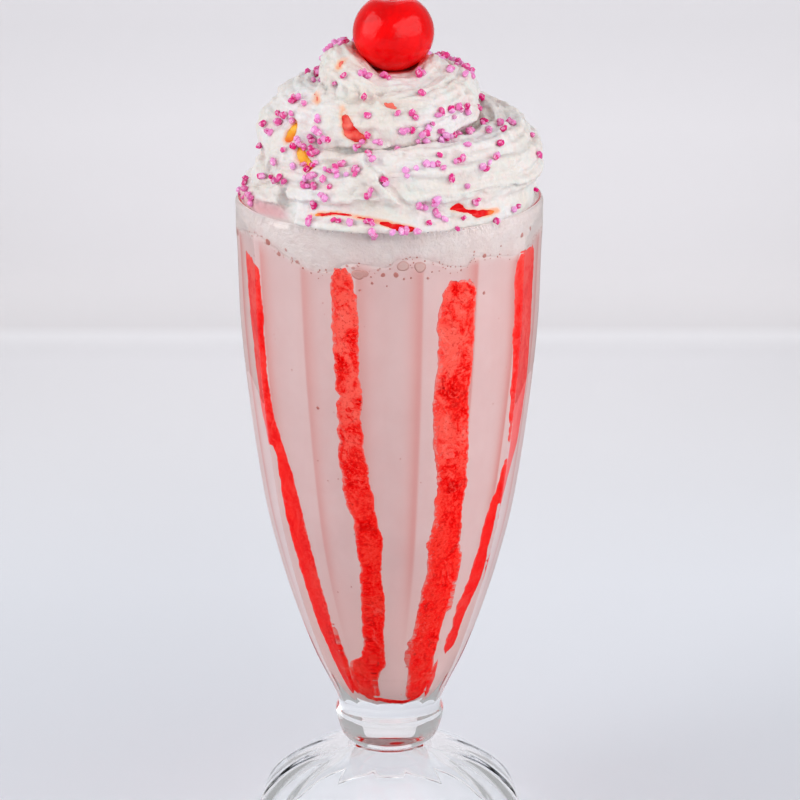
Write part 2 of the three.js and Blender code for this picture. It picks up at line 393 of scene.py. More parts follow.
def ridge_shade_strength(p):
    """Painted shade from the fluted glass: darker pink on the drink along one side of each ridge, sharp at the ridge,
    fading away from it.
    """
    a = np.degrees(azimuth(p))
    out = np.zeros(len(p))
    for k, ridge in enumerate(RIDGE_BANDS):
        side = 1 if ridge > 0 else -1
        d = side * ((ridge - a + 180) % 360 - 180) + 1.7
        wide = 4.2 + 0.8 * math.sin(3.1 * k)
        fade = np.exp(-(np.maximum(d - 1.2, 0) / wide) ** 1.6)
        out = np.maximum(out, (0.8 + 0.2 * math.sin(5.3 * k + 1)) * smooth(d / 1.2) * fade * (d < 12))
    return out * smooth((178 - p[:, 2]) / 6) * smooth((p[:, 2] - 50) / 45)


def shake_material():
    n = Nodes("milkshake")
    band = n.attribute("band")
    near_top = n.attribute("froth")
    mottled = n.noise(70, 4, 0.6, 0.4)
    streaky = n.noise(110, 3, 0.55, 0.2, vector=n.scaled(1, 1, 0.12))
    base = n.mix(n.map(mottled, 0.32, 0.7), srgb(210, 187, 186), srgb(213, 192, 191))
    base = n.mix(n.math("MULTIPLY", n.map(streaky, 0.45, 0.72), 0.35), base, srgb(209, 181, 179))
    # painted light: the drink is lighter low in the glass, fully below 55 mm, fading out by 90 mm
    base = n.mix(n.map(n.height(), 0.055, 0.090, 1.0, 0.0), base, srgb(220, 193, 190))
    # small pulp flecks
    flecks = n.map(n.cells(420), 0.10, 0.16, 1.0, 0.0)
    flecks = n.math("MULTIPLY", flecks, n.map(n.noise(130, 2), 0.60, 0.72))
    base = n.mix(n.math("MULTIPLY", flecks, 0.5), base, srgb(190, 125, 120))
    # painted shade: darker pink bands beside the ridges of the glass
    base = n.mix(band, base, srgb(204, 152, 148))
    base = n.mix(near_top, base, srgb(213, 202, 200))
    n.set(Base_Color=base, Roughness=n.map(mottled, 0.3, 0.7, 0.35, 0.5), Subsurface_Weight=0.0,
          Subsurface_Radius=(1.0, 0.7, 0.6), Subsurface_Scale=0.002, IOR=1.36)
    n.shader.inputs["Specular IOR Level"].default_value = 0.0
    n.set(Normal=n.bump(n.noise(900, 2), 0.12, 0.0002))
    return n.material


co, faces = shake_body()
above = co[:, 2] - (fill_line(azimuth(co)) - 1.8 + 0.9 * noise(co, 2.2, 8))
shake = make("milkshake_body", co, faces, attributes={
    "band": ridge_shade_strength(co), "froth": 0.85 * smooth(above / 2.6)})
shake.data.materials.append(shake_material())
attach(shake, "root")
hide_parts("milkshake")

# ------------------------------------------------------------------ syrup run down the inside of the wall
# Each run: heights, left and right edges in degrees of azimuth.
RUNS = {
    "a": ([40.2, 47, 53, 64, 79, 86, 104, 113, 118, 129, 143, 158, 167, 170.5],
          [-58.5, -59.5, -60.5, -61.5, -61.8, -62, -63.5, -63, -66.5, -71.5, -72.5, -74.5, -76, -76.5],
          [-49, -46, -41.8, -42, -43.2, -44.7, -49, -53, -56, -61, -61.6, -61.1, -62.0, -64]),
    "b": ([39.4, 43, 46, 49.5, 52, 55, 61, 74, 85, 92, 99, 109, 119, 124, 136, 142, 152, 164, 170, 173],
          [-55, -53, -50, -45, -39, -23, -19, -17, -16, -17.4, -18.2, -23, -23, -22.9, -22.3, -22.8, -23.6, -23.1, -24.3, -22],
          [-14, -15.5, -14.5, -9, -3.5, -3.8, -4.4, -3.6, -4.9, -3.5, -5.9, -8.5, -11.4, -12.1, -11.9, -12.6, -12.2, -13.0, -13.6, -14]),
    "c": ([39.0, 45, 50, 55, 64, 72, 83, 90, 99, 108, 118, 123, 136, 142, 150, 158, 165, 168.5],
          [18, 17.5, 16.8, 14.5, 16, 17.6, 19.9, 19.8, 21.9, 22.4, 19.9, 18.5, 18.6, 19.6, 20.1, 19.4, 20.6, 21.6],
          [58, 54, 47.5, 43.0, 41.0, 41.8, 41, 40.3, 38.6, 38.9, 38.1, 37.7, 36, 36.5, 36.6, 36.5, 36.9, 37]),
    "d": ([53.2, 55, 58, 64, 69, 76, 88, 95, 100, 104, 108, 115, 122, 128, 140, 157, 166, 170, 172.5],
          [51, 47, 46.2, 48.5, 46.8, 53.2, 54.4, 56, 59, 62, 64, 65, 64.6, 63.5, 61.5, 59.5, 59.0, 60, 62],
          [58, 63.5, 63.2, 61, 63.4, 68, 66, 66, 67.5, 70, 73.5, 79.7, 81, 81.7, 80.5, 78.5, 78.6, 78.2, 78]),
    "f": ([41, 50, 64, 80, 96, 112, 128, 144, 158, 168],
          [128, 121, 118, 115.5, 116, 112, 113, 110.5, 112, 116],
          [150, 142, 138, 136, 131, 130, 126.5, 126, 125.5, 121]),
    "g": ([40.5, 48, 58, 72, 88, 104, 120, 136, 150, 164, 171],
          [176, 171, 168.5, 166, 165, 166, 162.5, 164, 161, 162.5, 166],
          [205, 196, 189, 186, 183, 182.5, 179, 179.5, 176, 175, 171]),
    "h": ([41, 52, 66, 82, 98, 114, 130, 146, 160, 169],
          [-140, -136, -132, -131, -129, -127.5, -127, -125, -126, -122],
          [-118, -113, -112, -110, -111, -112, -110.5, -112, -111, -115]),
}


def syrup_runs():
    co, faces, rim, shade, sides = [], [], [], [], []
    for k, (zs, left, right) in enumerate(RUNS.values()):
        left_at, right_at = stations(zs, left), stations(zs, right)
        rows = int((zs[-1] - zs[0]) / 0.55)
        z = np.linspace(zs[0], zs[-1], rows)[:, None]
        across = np.linspace(-1, 1, 25)[None, :]
        l, r = np.radians(left_at(z)), np.radians(right_at(z))
        ragged = polar(38, l, z * 1.0)
        rough = (0.25 + 0.75 * smooth((z - 42) / 22)) * (30 / np.maximum(bowl_inner(z), 12))
        l = l + (0.022 * noise(ragged, 2.6, 20 + k) + 0.012 * noise(ragged, 0.9, 30 + k)) * rough
        ragged = polar(38, r, z * 1.0)
        r = r + (0.013 * noise(ragged, 3.1, 40 + k) + 0.010 * noise(ragged, 0.8, 50 + k)) * rough
        end = np.minimum(smooth((z - zs[0]) / 2.5), smooth((zs[-1] - z) / 3.5))
        a = (l + r) / 2 + (r - l) / 2 * across * np.where(z > (zs[0] + zs[-1]) / 2, 0.86 + 0.14 * np.sqrt(end), 0.25 + 0.75 * np.sqrt(end))
        z = z + 0 * a + (0.9 * noise(polar(38, a, z), 3.0, 60 + k) + 0.8 * noise(polar(38, a, z), 0.9, 80 + k)) * (1 - end)
        wall = bowl_inner(z)
        edge = (1 - np.abs(across) ** 2.6) * (0.15 + 0.85 * end)
        p = polar(wall, a, z)
        lump = 0.5 + 0.5 * noise(p, 3.0, 70 + k)
        front = wall + 0.05 + 0.16 * smooth(edge * 2.2)
        back = wall + 0.02 - (0.9 + 0.8 * lump) * edge
        n = across.shape[1]
        base = len(co) and sum(len(c) for c in co)
        co.append(polar(front, a, z).reshape(-1, 3))
        co.append(polar(back, a, z).reshape(-1, 3))
        grid = ring_faces(rows, n, closed=False)
        m = rows * n
        faces.append(grid + base)
        faces.append(grid[:, ::-1] + base + m)
        loop = np.concatenate([np.arange(n), np.arange(1, rows) * n + n - 1,
                               (rows - 1) * n + np.arange(n - 2, -1, -1), np.arange(rows - 2, 0, -1) * n])
        nxt = np.roll(loop, -1)
        faces.append(np.stack([nxt, loop, loop + m, nxt + m], -1) + base)
        rim += [edge.ravel(), edge.ravel()]
        shade += [lump.ravel(), lump.ravel()]
        side = across + 0 * a
        sides += [side.ravel(), side.ravel()]
    # the film that joins the runs along the bottom of the drink
    a = np.radians(np.linspace(-38, 60, 120))[:, None]
    v = np.linspace(-1, 1, 13)[None, :]
    middle = stations([-38, -17, 0, 28, 45, 60], [40.6, 39.2, 38.4, 38.2, 38.8, 40.4])(np.degrees(a))
    p = polar(8, a, middle)
    half = 0.75 + 0.25 * noise(p, 3.0, 75) + 0.5 * smooth((np.degrees(np.abs(a - 0.19)) - 32) / 14)
    z = np.maximum(middle + half * v + 0.15 * noise(polar(9, a, middle + v), 1.1, 76), 37.1)
    edge = (1 - np.abs(v) ** 2.2) * smooth((49.5 - np.degrees(np.abs(a - 0.19))) / 5) + 0 * a
    wall = bowl_inner(z)
    base = sum(len(c) for c in co)
    co.append(polar(wall + 0.05 + 0.15 * smooth(edge * 2.2), a, z).reshape(-1, 3))
    co.append(polar(wall + 0.02 - 1.1 * edge, a, z).reshape(-1, 3))
    rows, n = len(a), v.shape[1]
    grid = ring_faces(rows, n, closed=False)
    m = rows * n
    faces += [grid[:, ::-1] + base, grid + base + m]
    loop = np.concatenate([np.arange(n), np.arange(1, rows) * n + n - 1,
                           (rows - 1) * n + np.arange(n - 2, -1, -1), np.arange(rows - 2, 0, -1) * n])
    nxt = np.roll(loop, -1)
    faces.append(np.stack([loop, nxt, nxt + m, loop + m], -1) + base)
    rim += [edge.ravel() + 0.3] * 2
    shade += [np.full(m, 0.6)] * 2
    sides += [np.zeros(m)] * 2
    return (np.concatenate(co), np.concatenate(faces), np.concatenate(rim), np.concatenate(shade), np.concatenate(sides))


def syrup_material(name, streaks=True):
    n = Nodes(name)
    clumps = n.noise(230, 6, 0.70, 0.9)
    broad = n.noise(75, 3, 0.55, 1.4)
    pulp = n.math("ADD", n.math("MULTIPLY", clumps, 0.5), n.math("MULTIPLY", broad, 0.5))
    high = n.map(n.height(), 0.085, 0.140)
    # painted light: the syrup is a brighter red low in the glass, fully below 50 mm, fading out by 110 mm
    red = n.mix(n.map(n.height(), 0.05, 0.11, 1.0, 0.0), srgb(232, 3, 0), srgb(246, 5, 0))
    red = n.mix(n.map(pulp, 0.45, 0.57), red, n.mix(high, srgb(240, 62, 50), srgb(238, 116, 104)))
    red = n.mix(n.map(pulp, 0.38, 0.46, 1.0, 0.0), red, srgb(206, 0, 0))
    pale = n.map(n.noise(110, 5, 0.66, 1.8), 0.56, 0.66)
    red = n.mix(n.math("MULTIPLY", pale, n.map(high, 0.0, 1.0, 0.30, 0.62)), red, srgb(240, 146, 136))
    seeds = n.map(n.cells(330), 0.09, 0.16, 1.0, 0.0)
    seeds = n.math("MULTIPLY", seeds, n.map(n.noise(120, 2), 0.50, 0.58))
    red = n.mix(n.math("MULTIPLY", seeds, 0.7), red, srgb(150, 12, 18))
    foam = n.map(n.cells(520, "SMOOTH_F1"), 0.15, 0.30, 1.0, 0.0)
    red = n.mix(n.math("MULTIPLY", foam, n.map(n.noise(100, 2, 0.5), 0.55, 0.7, 0.0, 0.38)), red, srgb(236, 118, 110))
    if streaks:
        grain = n.noise(1250, 3, 0.7)
        red = n.mix(n.math("MULTIPLY", n.map(grain, 0.48, 0.62), n.map(high, 0.0, 1.0, 0.32, 0.52)), red, srgb(240, 110, 98))
        red = n.mix(n.math("MULTIPLY", n.map(grain, 0.38, 0.47, 1.0, 0.0), 0.45), red, srgb(196, 0, 0))
        speckle = n.math("SUBTRACT", n.math("ADD", n.math("MULTIPLY", clumps, 0.5), n.math("MULTIPLY", grain, 0.5)), 0.5)
        # the upper end of each run is broken up into specks
        ragged = n.math("ADD", n.attribute("rim"), n.math("MULTIPLY", speckle, 2.2))
        red = n.mix(n.map(ragged, 0.0, 0.28), srgb(224, 146, 140), red)
        # the left side of each run is thin and mixed with the drink
        thin = n.math("ADD", n.attribute("side"), n.math("MULTIPLY", speckle, 2.6))
        red = n.mix(n.map(thin, -1.12, -0.70), srgb(226, 150, 144), red)
        thick = n.attribute("lump")
        red = n.mix(n.math("MULTIPLY", n.map(thick, 0.28, 0.58, 1.0, 0.0), 0.22), red, srgb(238, 84, 72))
        red = n.mix(n.math("MULTIPLY", n.attribute("turn"), 0.55), red, srgb(240, 0, 0))
        n.shader.inputs["Specular IOR Level"].default_value = 0.0
    n.set(Base_Color=red, Roughness=n.map(clumps, 0.3, 0.7, 0.22, 0.42), Subsurface_Weight=0.0,
          Subsurface_Radius=(1.0, 0.25, 0.2), Subsurface_Scale=0.0012, IOR=1.4)
    n.set(Normal=n.bump(clumps, 0.35, 0.0006))
    return n.material


co, faces, rim, lump, side = syrup_runs()
runs = make("syrup_runs", co, faces, attributes={
    "rim": rim, "lump": lump, "side": side, "turn": smooth((np.abs(azimuth(co)) - math.radians(42)) / math.radians(16))})
runs.data.materials.append(syrup_material("strawberry_syrup"))
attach(runs, "root")

# ------------------------------------------------------------------ bubbles held at the wall, and pulp in the drink
# Azimuth in degrees, height, radius, and tone from 0 (pale) to 1 (dark).
BUBBLES = [
    (-54.4, 177.0, 1.0, 0.9), (-48.0, 174.4, 0.75, 0.75), (-43.5, 176.3, 0.5, 0.4), (-38.1, 173.5, 0.46, 0.6), (-35.9, 171.9, 0.34, 0.9),
    (-40.3, 174.3, 0.3, 0.5), (-16.3, 174.2, 0.42, 0.5), (-13.8, 173.7, 0.46, 0.5), (-18.9, 173.1, 0.34, 0.7), (-12.2, 171.9, 1.5, 0.5),
    (-9.9, 172.2, 1.1, 0.5), (-2.5, 171.9, 0.63, 0.8), (2.6, 171.9, 0.75, 0.85), (5.8, 170.7, 0.36, 0.7),
    (8.6, 171.0, 0.34, 0.7), (-6.9, 169.5, 0.42, 0.8), (-7.3, 171.3, 0.3, 0.6), (-4.5, 173.3, 0.36, 0.5), (0.2, 173.7, 0.3, 0.6),
    (5.4, 174.5, 1.6, 0.15), (11.9, 174.1, 1.5, 0.2), (-1.0, 168.7, 0.26, 0.8), (-11.8, 167.4, 0.32, 0.8), (14.8, 170.7, 0.42, 0.6),
    (16.5, 172.4, 0.3, 0.5), (29.1, 171.9, 0.34, 0.6), (39.2, 175.1, 0.6, 0.8), (68.0, 178.5, 0.5, 0.6), (61.4, 177.7, 0.65, 0.7),
    (39.6, 164.2, 0.5, 0.75), (-32.2, 131.6, 0.5, 0.95), (-43.8, 141.4, 0.26, 0.7), (48.3, 176.7, 0.3, 0.6), (34.7, 176.8, 0.3, 0.6),
    (-32.2, 170.8, 0.3, 0.6), (-29.0, 171.4, 0.24, 0.7), (-25.4, 172.3, 0.26, 0.7), (-70.7, 168.2, 0.34, 0.8), (-64.1, 171.4, 0.3, 0.8),
    (-76.2, 170.2, 0.34, 0.7), (50.0, 130.5, 0.24, 0.6), (-30.0, 110.0, 0.22, 0.5), (5.0, 118.0, 0.22, 0.4),
]


def bubble_list():
    rng = np.random.default_rng(21)
    out = list(BUBBLES)
    # fine froth along the line between drink and cream, all the way round
    for k in range(230):
        a = rng.uniform(-180, 180)
        z = float(fill_line(math.radians(a))) - abs(rng.normal(0, 1.5)) + 0.5
        out.append((a, z, rng.uniform(0.14, 0.28), rng.uniform(0.35, 0.9)))
    # bigger ones on the sides and back
    for k in range(46):
        a = rng.uniform(85, 275)
        z = float(fill_line(math.radians(a))) - abs(rng.normal(0, 2.2)) - 0.2
        out.append((a, z, rng.choice([0.35, 0.5, 0.7, 1.2], p=[0.4, 0.3, 0.2, 0.1]), rng.uniform(0.2, 0.9)))
    # scattered pulp lower in the drink
    for k in range(34):
        out.append((rng.uniform(-180, 180), rng.uniform(60, 168), rng.uniform(0.12, 0.26), rng.uniform(0.5, 1.0)))
    return out


def bubbles():
    co, faces, edge, tone = [], [], [], []
    total = 0
    rng = np.random.default_rng(22)
    for a, z, r, t in bubble_list():
        n = 14 if r > 0.4 else 8
        turns = np.arange(n) / n * TAU
        wobble = 1 + 0.08 * np.sin(2 * turns + rng.uniform(0, 6)) + 0.05 * np.sin(3 * turns + rng.uniform(0, 6))
        base = float(bowl_inner(z))
        rows = []
        for share, lift in ((0.45, 0.19), (0.8, 0.15), (1.0, 0.07), (0.8, -0.35), (0.4, -0.6)):
            v = share * r * wobble * np.sin(turns)
            u = share * r * wobble * np.cos(turns)
            zz = z + v
            rows.append(polar(bowl_inner(zz) + lift * (1 if lift > 0 else min(1, r)), math.radians(a) + u / base, zz))
            edge += [share] * n
            tone += [t] * n
        ends = [polar(bowl_inner(z) + 0.20, math.radians(a), z), polar(bowl_inner(z) - 0.65 * min(1, r), math.radians(a), z)]
        co += rows + [np.array([e]) for e in ends]
        edge += [0.0, 0.0]
        tone += [t, t]
        faces += (ring_faces(5, n)[:, ::-1] + total).tolist()
        for i in range(n):
            j = (i + 1) % n
            faces.append((total + 5 * n, total + i, total + j))
            faces.append((total + 5 * n + 1, total + 4 * n + j, total + 4 * n + i))
        total += 5 * n + 2
    return np.concatenate(co), faces, np.array(edge), np.array(tone)


def bubble_material():
    n = Nodes("froth")
    edge, tone = n.attribute("edge"), n.attribute("tone")
    cloudy = n.noise(900, 2, 0.5)
    pale = n.mix(n.map(edge, 0.55, 1.0), srgb(207, 186, 182), srgb(201, 170, 165))
    dark = n.mix(n.map(edge, 0.45, 1.0), srgb(176, 118, 111), srgb(198, 146, 140))
    colour = n.mix(tone, pale, dark)
    colour = n.mix(n.math("MULTIPLY", n.map(cloudy, 0.45, 0.7), 0.25), colour, srgb(202, 160, 154))
    n.set(Base_Color=colour, Roughness=n.map(cloudy, 0.3, 0.7, 0.3, 0.45), IOR=1.36)
    n.shader.inputs["Specular IOR Level"].default_value = 0.0
    return n.material


co, faces, edge, tone = bubbles()
froth = make("froth_bubbles", co, faces, attributes={"edge": edge, "tone": tone})
froth.data.materials.append(bubble_material())
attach(froth, "root")

# ------------------------------------------------------------------ whipped cream
# The rope from the star nozzle, by turn: 0 is the front, it grows to the right and rises.
TURNS = [-0.35, -0.12, 0, 0.25, 0.5, 0.75, 1, 1.25, 1.5, 1.75, 2, 2.3]
rope_height = stations(TURNS, [188, 191, 193, 195, 200, 206.5, 208.5, 212.3, 215.5, 219.2, 213.9, 219.2])
rope_radius = stations(TURNS, [6.5, 9.6, 10.6, 11.6, 11.6, 9.4, 8.6, 8.0, 7.4, 6.6, 6.0, 5.0])
path_radius = stations(TURNS, [29, 29, 28.6, 30.8, 28.0, 22.6, 21.0, 16.6, 15.4, 12.9, 12.2, 11.6])
core_radius = stations([170, 186, 191, 197, 206, 214, 220, 222.5], [41, 41, 36, 29, 20, 15.5, 12.0, 8.0])
CHERRY_CENTRE = np.array([1.1, 0.0, 230.3])
CHERRY_R = 11.0
CHERRY_SHAPE = 1.04

PITCH = 0.56
GRID_LOW = np.array([-45.0, -45.0, 168.5])
GRID_N = np.array([162, 162, 110])


def grid_points(lo, hi):
    ax = [GRID_LOW[k] + PITCH * np.arange(lo[k], hi[k]) for k in range(3)]
    return np.stack(np.meshgrid(*ax, indexing="ij"), -1)


def smin(a, b, k):
    h = np.clip(0.5 + 0.5 * (b - a) / k, 0, 1)
    return b * (1 - h) + a * h - k * h * (1 - h)


def rope_samples():
    u = np.arange(TURNS[0], TURNS[-1] + 1e-6, 0.0035)
    c = polar(path_radius(u), u * TAU, rope_height(u))
    c[:, 2] += 0.5 * np.sin(u * 11.3 + 0.5)
    r = rope_radius(u) * (1 + 0.03 * np.sin(u * 17.1 + 1.0) + 0.02 * np.sin(u * 31.7))
    end = np.minimum(smooth((u - TURNS[0]) / 0.06 + 0.25), smooth((TURNS[-1] - u) / 0.08 + 0.3))
    t = np.gradient(c, axis=0)
    t /= np.linalg.norm(t, axis=1)[:, None]
    up = np.array([0, 0, 1.0]) - t * t[:, 2:3]
    up /= np.linalg.norm(up, axis=1)[:, None]
    out = np.cross(t, up)
    return u, c, r * end, t, up, out


ROPE = rope_samples()


def nearest_on_rope(p, chunk=4000):
    """Index of the rope sample whose surface is nearest to each point."""
    u, c, r, t, up, out = ROPE
    best = np.empty(len(p), np.int32)
    c32, r32 = c.astype(np.float32), r.astype(np.float32)
    for s in range(0, len(p), chunk):
        d = np.linalg.norm(p[s:s + chunk, None].astype(np.float32) - c32[None], axis=2) - r32
        best[s:s + chunk] = d.argmin(1)
    return best


def section(psi, u):
    """Outline of the rope: ridges of the star nozzle, some torn, some run together."""
    big = np.cos(10 * psi + 8.0 * u + 0.6 * np.sin(2 * psi + 3 * u))
    small = np.cos(21 * psi + 5.0 * u + 1.3)
    return 0.040 * (np.abs(0.5 + 0.5 * big) ** 0.7 * 2 - 1) + 0.034 * (np.abs(0.5 + 0.5 * small) ** 0.6 * 2 - 1)


def cream_field():
    lo, hi = np.zeros(3, int), GRID_N
    P = grid_points(lo, hi)
    rad = np.hypot(P[..., 0], P[..., 1])
    az = azimuth(P)
    core = (rad - (core_radius(P[..., 2]) + 0.7 * np.sin(3 * az + 0.6))) * 0.9
    core = np.maximum(core, P[..., 2] - 219.9)
    u, c, r, t, up, out = ROPE
    best = np.full(P.shape[:3], 1e3, np.float32)
    index = np.full(P.shape[:3], -1, np.int16)
    for k in range(len(u)):
        reach = r[k] * 1.25 + 1.5
        a = np.clip(np.floor((c[k] - reach - GRID_LOW) / PITCH).astype(int), 0, GRID_N)
        b = np.clip(np.ceil((c[k] + reach - GRID_LOW) / PITCH).astype(int) + 1, 0, GRID_N)
        s = tuple(slice(a[i], b[i]) for i in range(3))
        Q = P[s]
        d = np.sqrt(((Q - c[k]) ** 2).sum(-1)) - r[k]
        m = d < best[s]
        best[s][m] = d[m]
        index[s][m] = k
    on = index >= 0
    i = index[on]
    q = P[on] - c[i]
    x, y = (q * out[i]).sum(1), (q * up[i]).sum(1)
    psi = np.arctan2(y, x)
    dist = np.linalg.norm(q, axis=1)
    rope = np.full(P.shape[:3], 3.0)
    rope[on] = dist - r[i] * (1 + section(psi, u[i]))
    field = smin(rope, core, 1.2)
    return P, field


P, field = cream_field()


def field_at(p, grid=None):
    grid = field if grid is None else grid
    g = np.clip((np.asarray(p, float) - GRID_LOW) / PITCH, 0, GRID_N - 1.001)
    i = g.astype(int)
    f = g - i
    v = 0
    for dx in (0, 1):
        for dy in (0, 1):
            for dz in (0, 1):
                w = (f[..., 0] if dx else 1 - f[..., 0]) * (f[..., 1] if dy else 1 - f[..., 1]) * (f[..., 2] if dz else 1 - f[..., 2])
                v = v + w * grid[i[..., 0] + dx, i[..., 1] + dy, i[..., 2] + dz]
    return v


def surface_at(x, y):
    """Where a line of sight through a pixel of the picture meets the cream."""
    d = view_ray(x, y)
    ts = np.arange(1270, 1460, 0.25)
    p = eye + d * ts[:, None]
    inside = ((p > GRID_LOW) & (p < GRID_LOW + PITCH * (GRID_N - 1))).all(1)
    v = np.where(inside, field_at(p), 5.0)
    hit = np.nonzero(v < 0)[0]
    return p[hit[0]] if len(hit) else None


def along(points, radii, step=0.4):
    pts, rr = [], []
    for p0, p1, r0, r1 in zip(points[:-1], points[1:], radii[:-1], radii[1:]):
        steps = max(2, int(np.linalg.norm(np.subtract(p1, p0)) / step))
        for s in np.linspace(0, 1, steps, endpoint=False):
            pts.append(np.add(p0, np.subtract(p1, p0) * s))
            rr.append(r0 + (r1 - r0) * s)
    pts.append(np.array(points[-1], float))
    rr.append(radii[-1])
    return np.array(pts), np.array(rr)


def roll(points, radii, k, add=True):
    """Joins a rounded roll to the cream, or presses a groove of that shape into it."""
    pts, rr = along(points, radii)
    a = np.clip(np.floor((pts.min(0) - max(rr) - 3 - GRID_LOW) / PITCH).astype(int), 0, GRID_N)
    b = np.clip(np.ceil((pts.max(0) + max(rr) + 3 - GRID_LOW) / PITCH).astype(int) + 1, 0, GRID_N)
    s = tuple(slice(a[i], b[i]) for i in range(3))
    Q = P[s].astype(np.float32)
    d = np.full(Q.shape[:3], 1e3, np.float32)
    for p, r in zip(pts.astype(np.float32), rr):
        d = np.minimum(d, np.sqrt(((Q - p) ** 2).sum(-1)) - np.float32(r))
    field[s] = smin(field[s], d, k) if add else -smin(-field[s], d, k)


def seen(points, lift=0.0):
    """Points on the cream under these pixels of the picture, moved towards the eye by lift."""
    out = []
    for x, y in points:
        p = surface_at(x, y)
        if p is not None:
            out.append(p - view_ray(x, y) * lift)
    return out


def turned(points):
    """(azimuth in degrees, radius, height) to points."""
    return [polar(r, math.radians(a), z) for a, r, z in points]


# where the rope folded over itself: lumps between the windings
roll(turned([(-150, 23, 203.5), (-122, 26, 203), (-97, 27.8, 202.6), (-82, 28.2, 201.6)]), [6.0, 8.0, 9.2, 8.6], 1.0)
roll(turned([(-74, 29.0, 201.0), (-62, 29.2, 199.6), (-50, 28.0, 198.6)]), [7.4, 8.4, 7.6], 0.8)
roll(turned([(-98, 30.5, 191.5), (-80, 31.2, 190.6), (-64, 31.0, 190.0)]), [6.0, 7.4, 6.6], 0.9)
roll(turned([(-42, 27.0, 195.5), (-30, 27.5, 194.0), (-16, 28.5, 192.0), (-3, 29.2, 190.3), (6, 30.0, 189.2)]), [8.0, 9.6, 10.0, 9.4, 7.0], 0.8)
roll(turned([(150, 24, 203.0), (172, 25, 204.5), (195, 24, 206.5)]), [6.5, 8.0, 6.5], 1.0)
roll(turned([(118, 29, 199.5), (134, 29.5, 201.5)]), [7.4, 7.0], 1.0)
roll(turned([(-60, 15.5, 211.5), (-42, 16.5, 210.8), (-24, 16.8, 209.6)]), [6.4, 7.4, 6.6], 0.8)
roll(seen([(331, 113), (328, 124), (331, 137)], -3.0), [3.6, 4.6, 3.8], 0.7)
roll(seen([(381, 106), (378, 116), (384, 128), (396, 134)], -2.2), [2.4, 3.4, 3.2, 2.4], 0.7)
roll(turned([(-72, 12.4, 221.6), (-58, 13.4, 220.4), (-42, 13.6, 218.4)]), [3.0, 3.8, 3.0], 0.6)
roll(turned([(-88, 12.6, 224.6), (-76, 14.6, 224.6), (-66, 16.2, 222.6), (-62, 16.6, 220.2)]), [1.3, 1.8, 2.0, 1.6], 0.4)
roll(seen([(363, 164), (376, 178), (388, 193), (402, 206)], -1.6), [2.4, 3.0, 3.0, 2.2], 0.7)
roll(seen([(400, 210), (409, 205), (418, 210), (427, 218)], -0.9), [1.6, 2.0, 2.0, 1.5], 0.5)
# pleats drawn upwards below the top winding
for k, (x0, y0, x1, y1) in enumerate([(321, 84, 318, 104), (331, 82, 330, 106), (341, 84, 343, 108), (351, 85, 354, 108), (362, 87, 366, 108), (372, 88, 378, 104)]):
    roll(seen([(x0, y0), ((x0 + x1) / 2 + 1.5 * math.sin(2.3 * k), (y0 + y1) / 2), (x1, y1)], -0.35), [0.7, 1.15, 0.8], 0.5)
for k, (x0, y0, x1, y1) in enumerate([(262, 150, 259, 172), (272, 146, 268, 172), (283, 172, 276, 180), (452, 84, 462, 96), (467, 92, 474, 106)]):
    roll(seen([(x0, y0), ((x0 + x1) / 2 + 1.5 * math.sin(2.9 * k), (y0 + y1) / 2), (x1, y1)], -0.3), [0.7, 1.2, 0.8], 0.5)
# thin band of cream left on the rim in front
roll(turned([(-38, 41.0, 184.6), (-26, 41.4, 184.9), (-10, 41.5, 184.7), (4, 41.5, 184.9), (20, 41.2, 184.7), (30, 40.6, 184.4)]),
     [0.8, 1.6, 1.7, 1.6, 1.7, 0.8], 0.6)

# creases, and slits that hold syrup: pixels of the picture, half widths, and for the creases how deep
SLITS = {
    "front": ([(311, 215), (322, 214), (336, 213), (350, 215), (364, 218), (378, 222), (392, 225), (405, 229), (413, 229)],
              [0.35, 0.6, 0.5, 0.35, 0.35, 0.5, 0.9, 1.2, 0.6]),
    "right": ([(450, 209), (458, 207), (467, 210), (478, 213), (490, 212), (498, 210)], [0.4, 1.0, 0.6, 1.0, 0.8, 0.4]),
    "comma": ([(342, 109), (345, 116), (347, 124), (350, 131), (355, 137), (363, 139)], [0.3, 0.8, 1.3, 1.8, 1.8, 1.0]),
    "left_a": ([(295, 121), (293, 129), (289, 138)], [0.4, 1.2, 1.2]),
    "left_b": ([(299, 147), (301, 154), (305, 162), (310, 168)], [0.6, 1.4, 1.3, 0.8]),
    "small": ([(386, 103), (391, 105), (395, 107)], [0.5, 0.8, 0.4]),
    "stroke": ([(314, 93), (316, 98), (318, 102)], [0.3, 0.6, 0.3]),
    "curl": ([(346, 58), (341, 62), (339, 67)], [0.3, 0.6, 0.5]),
}
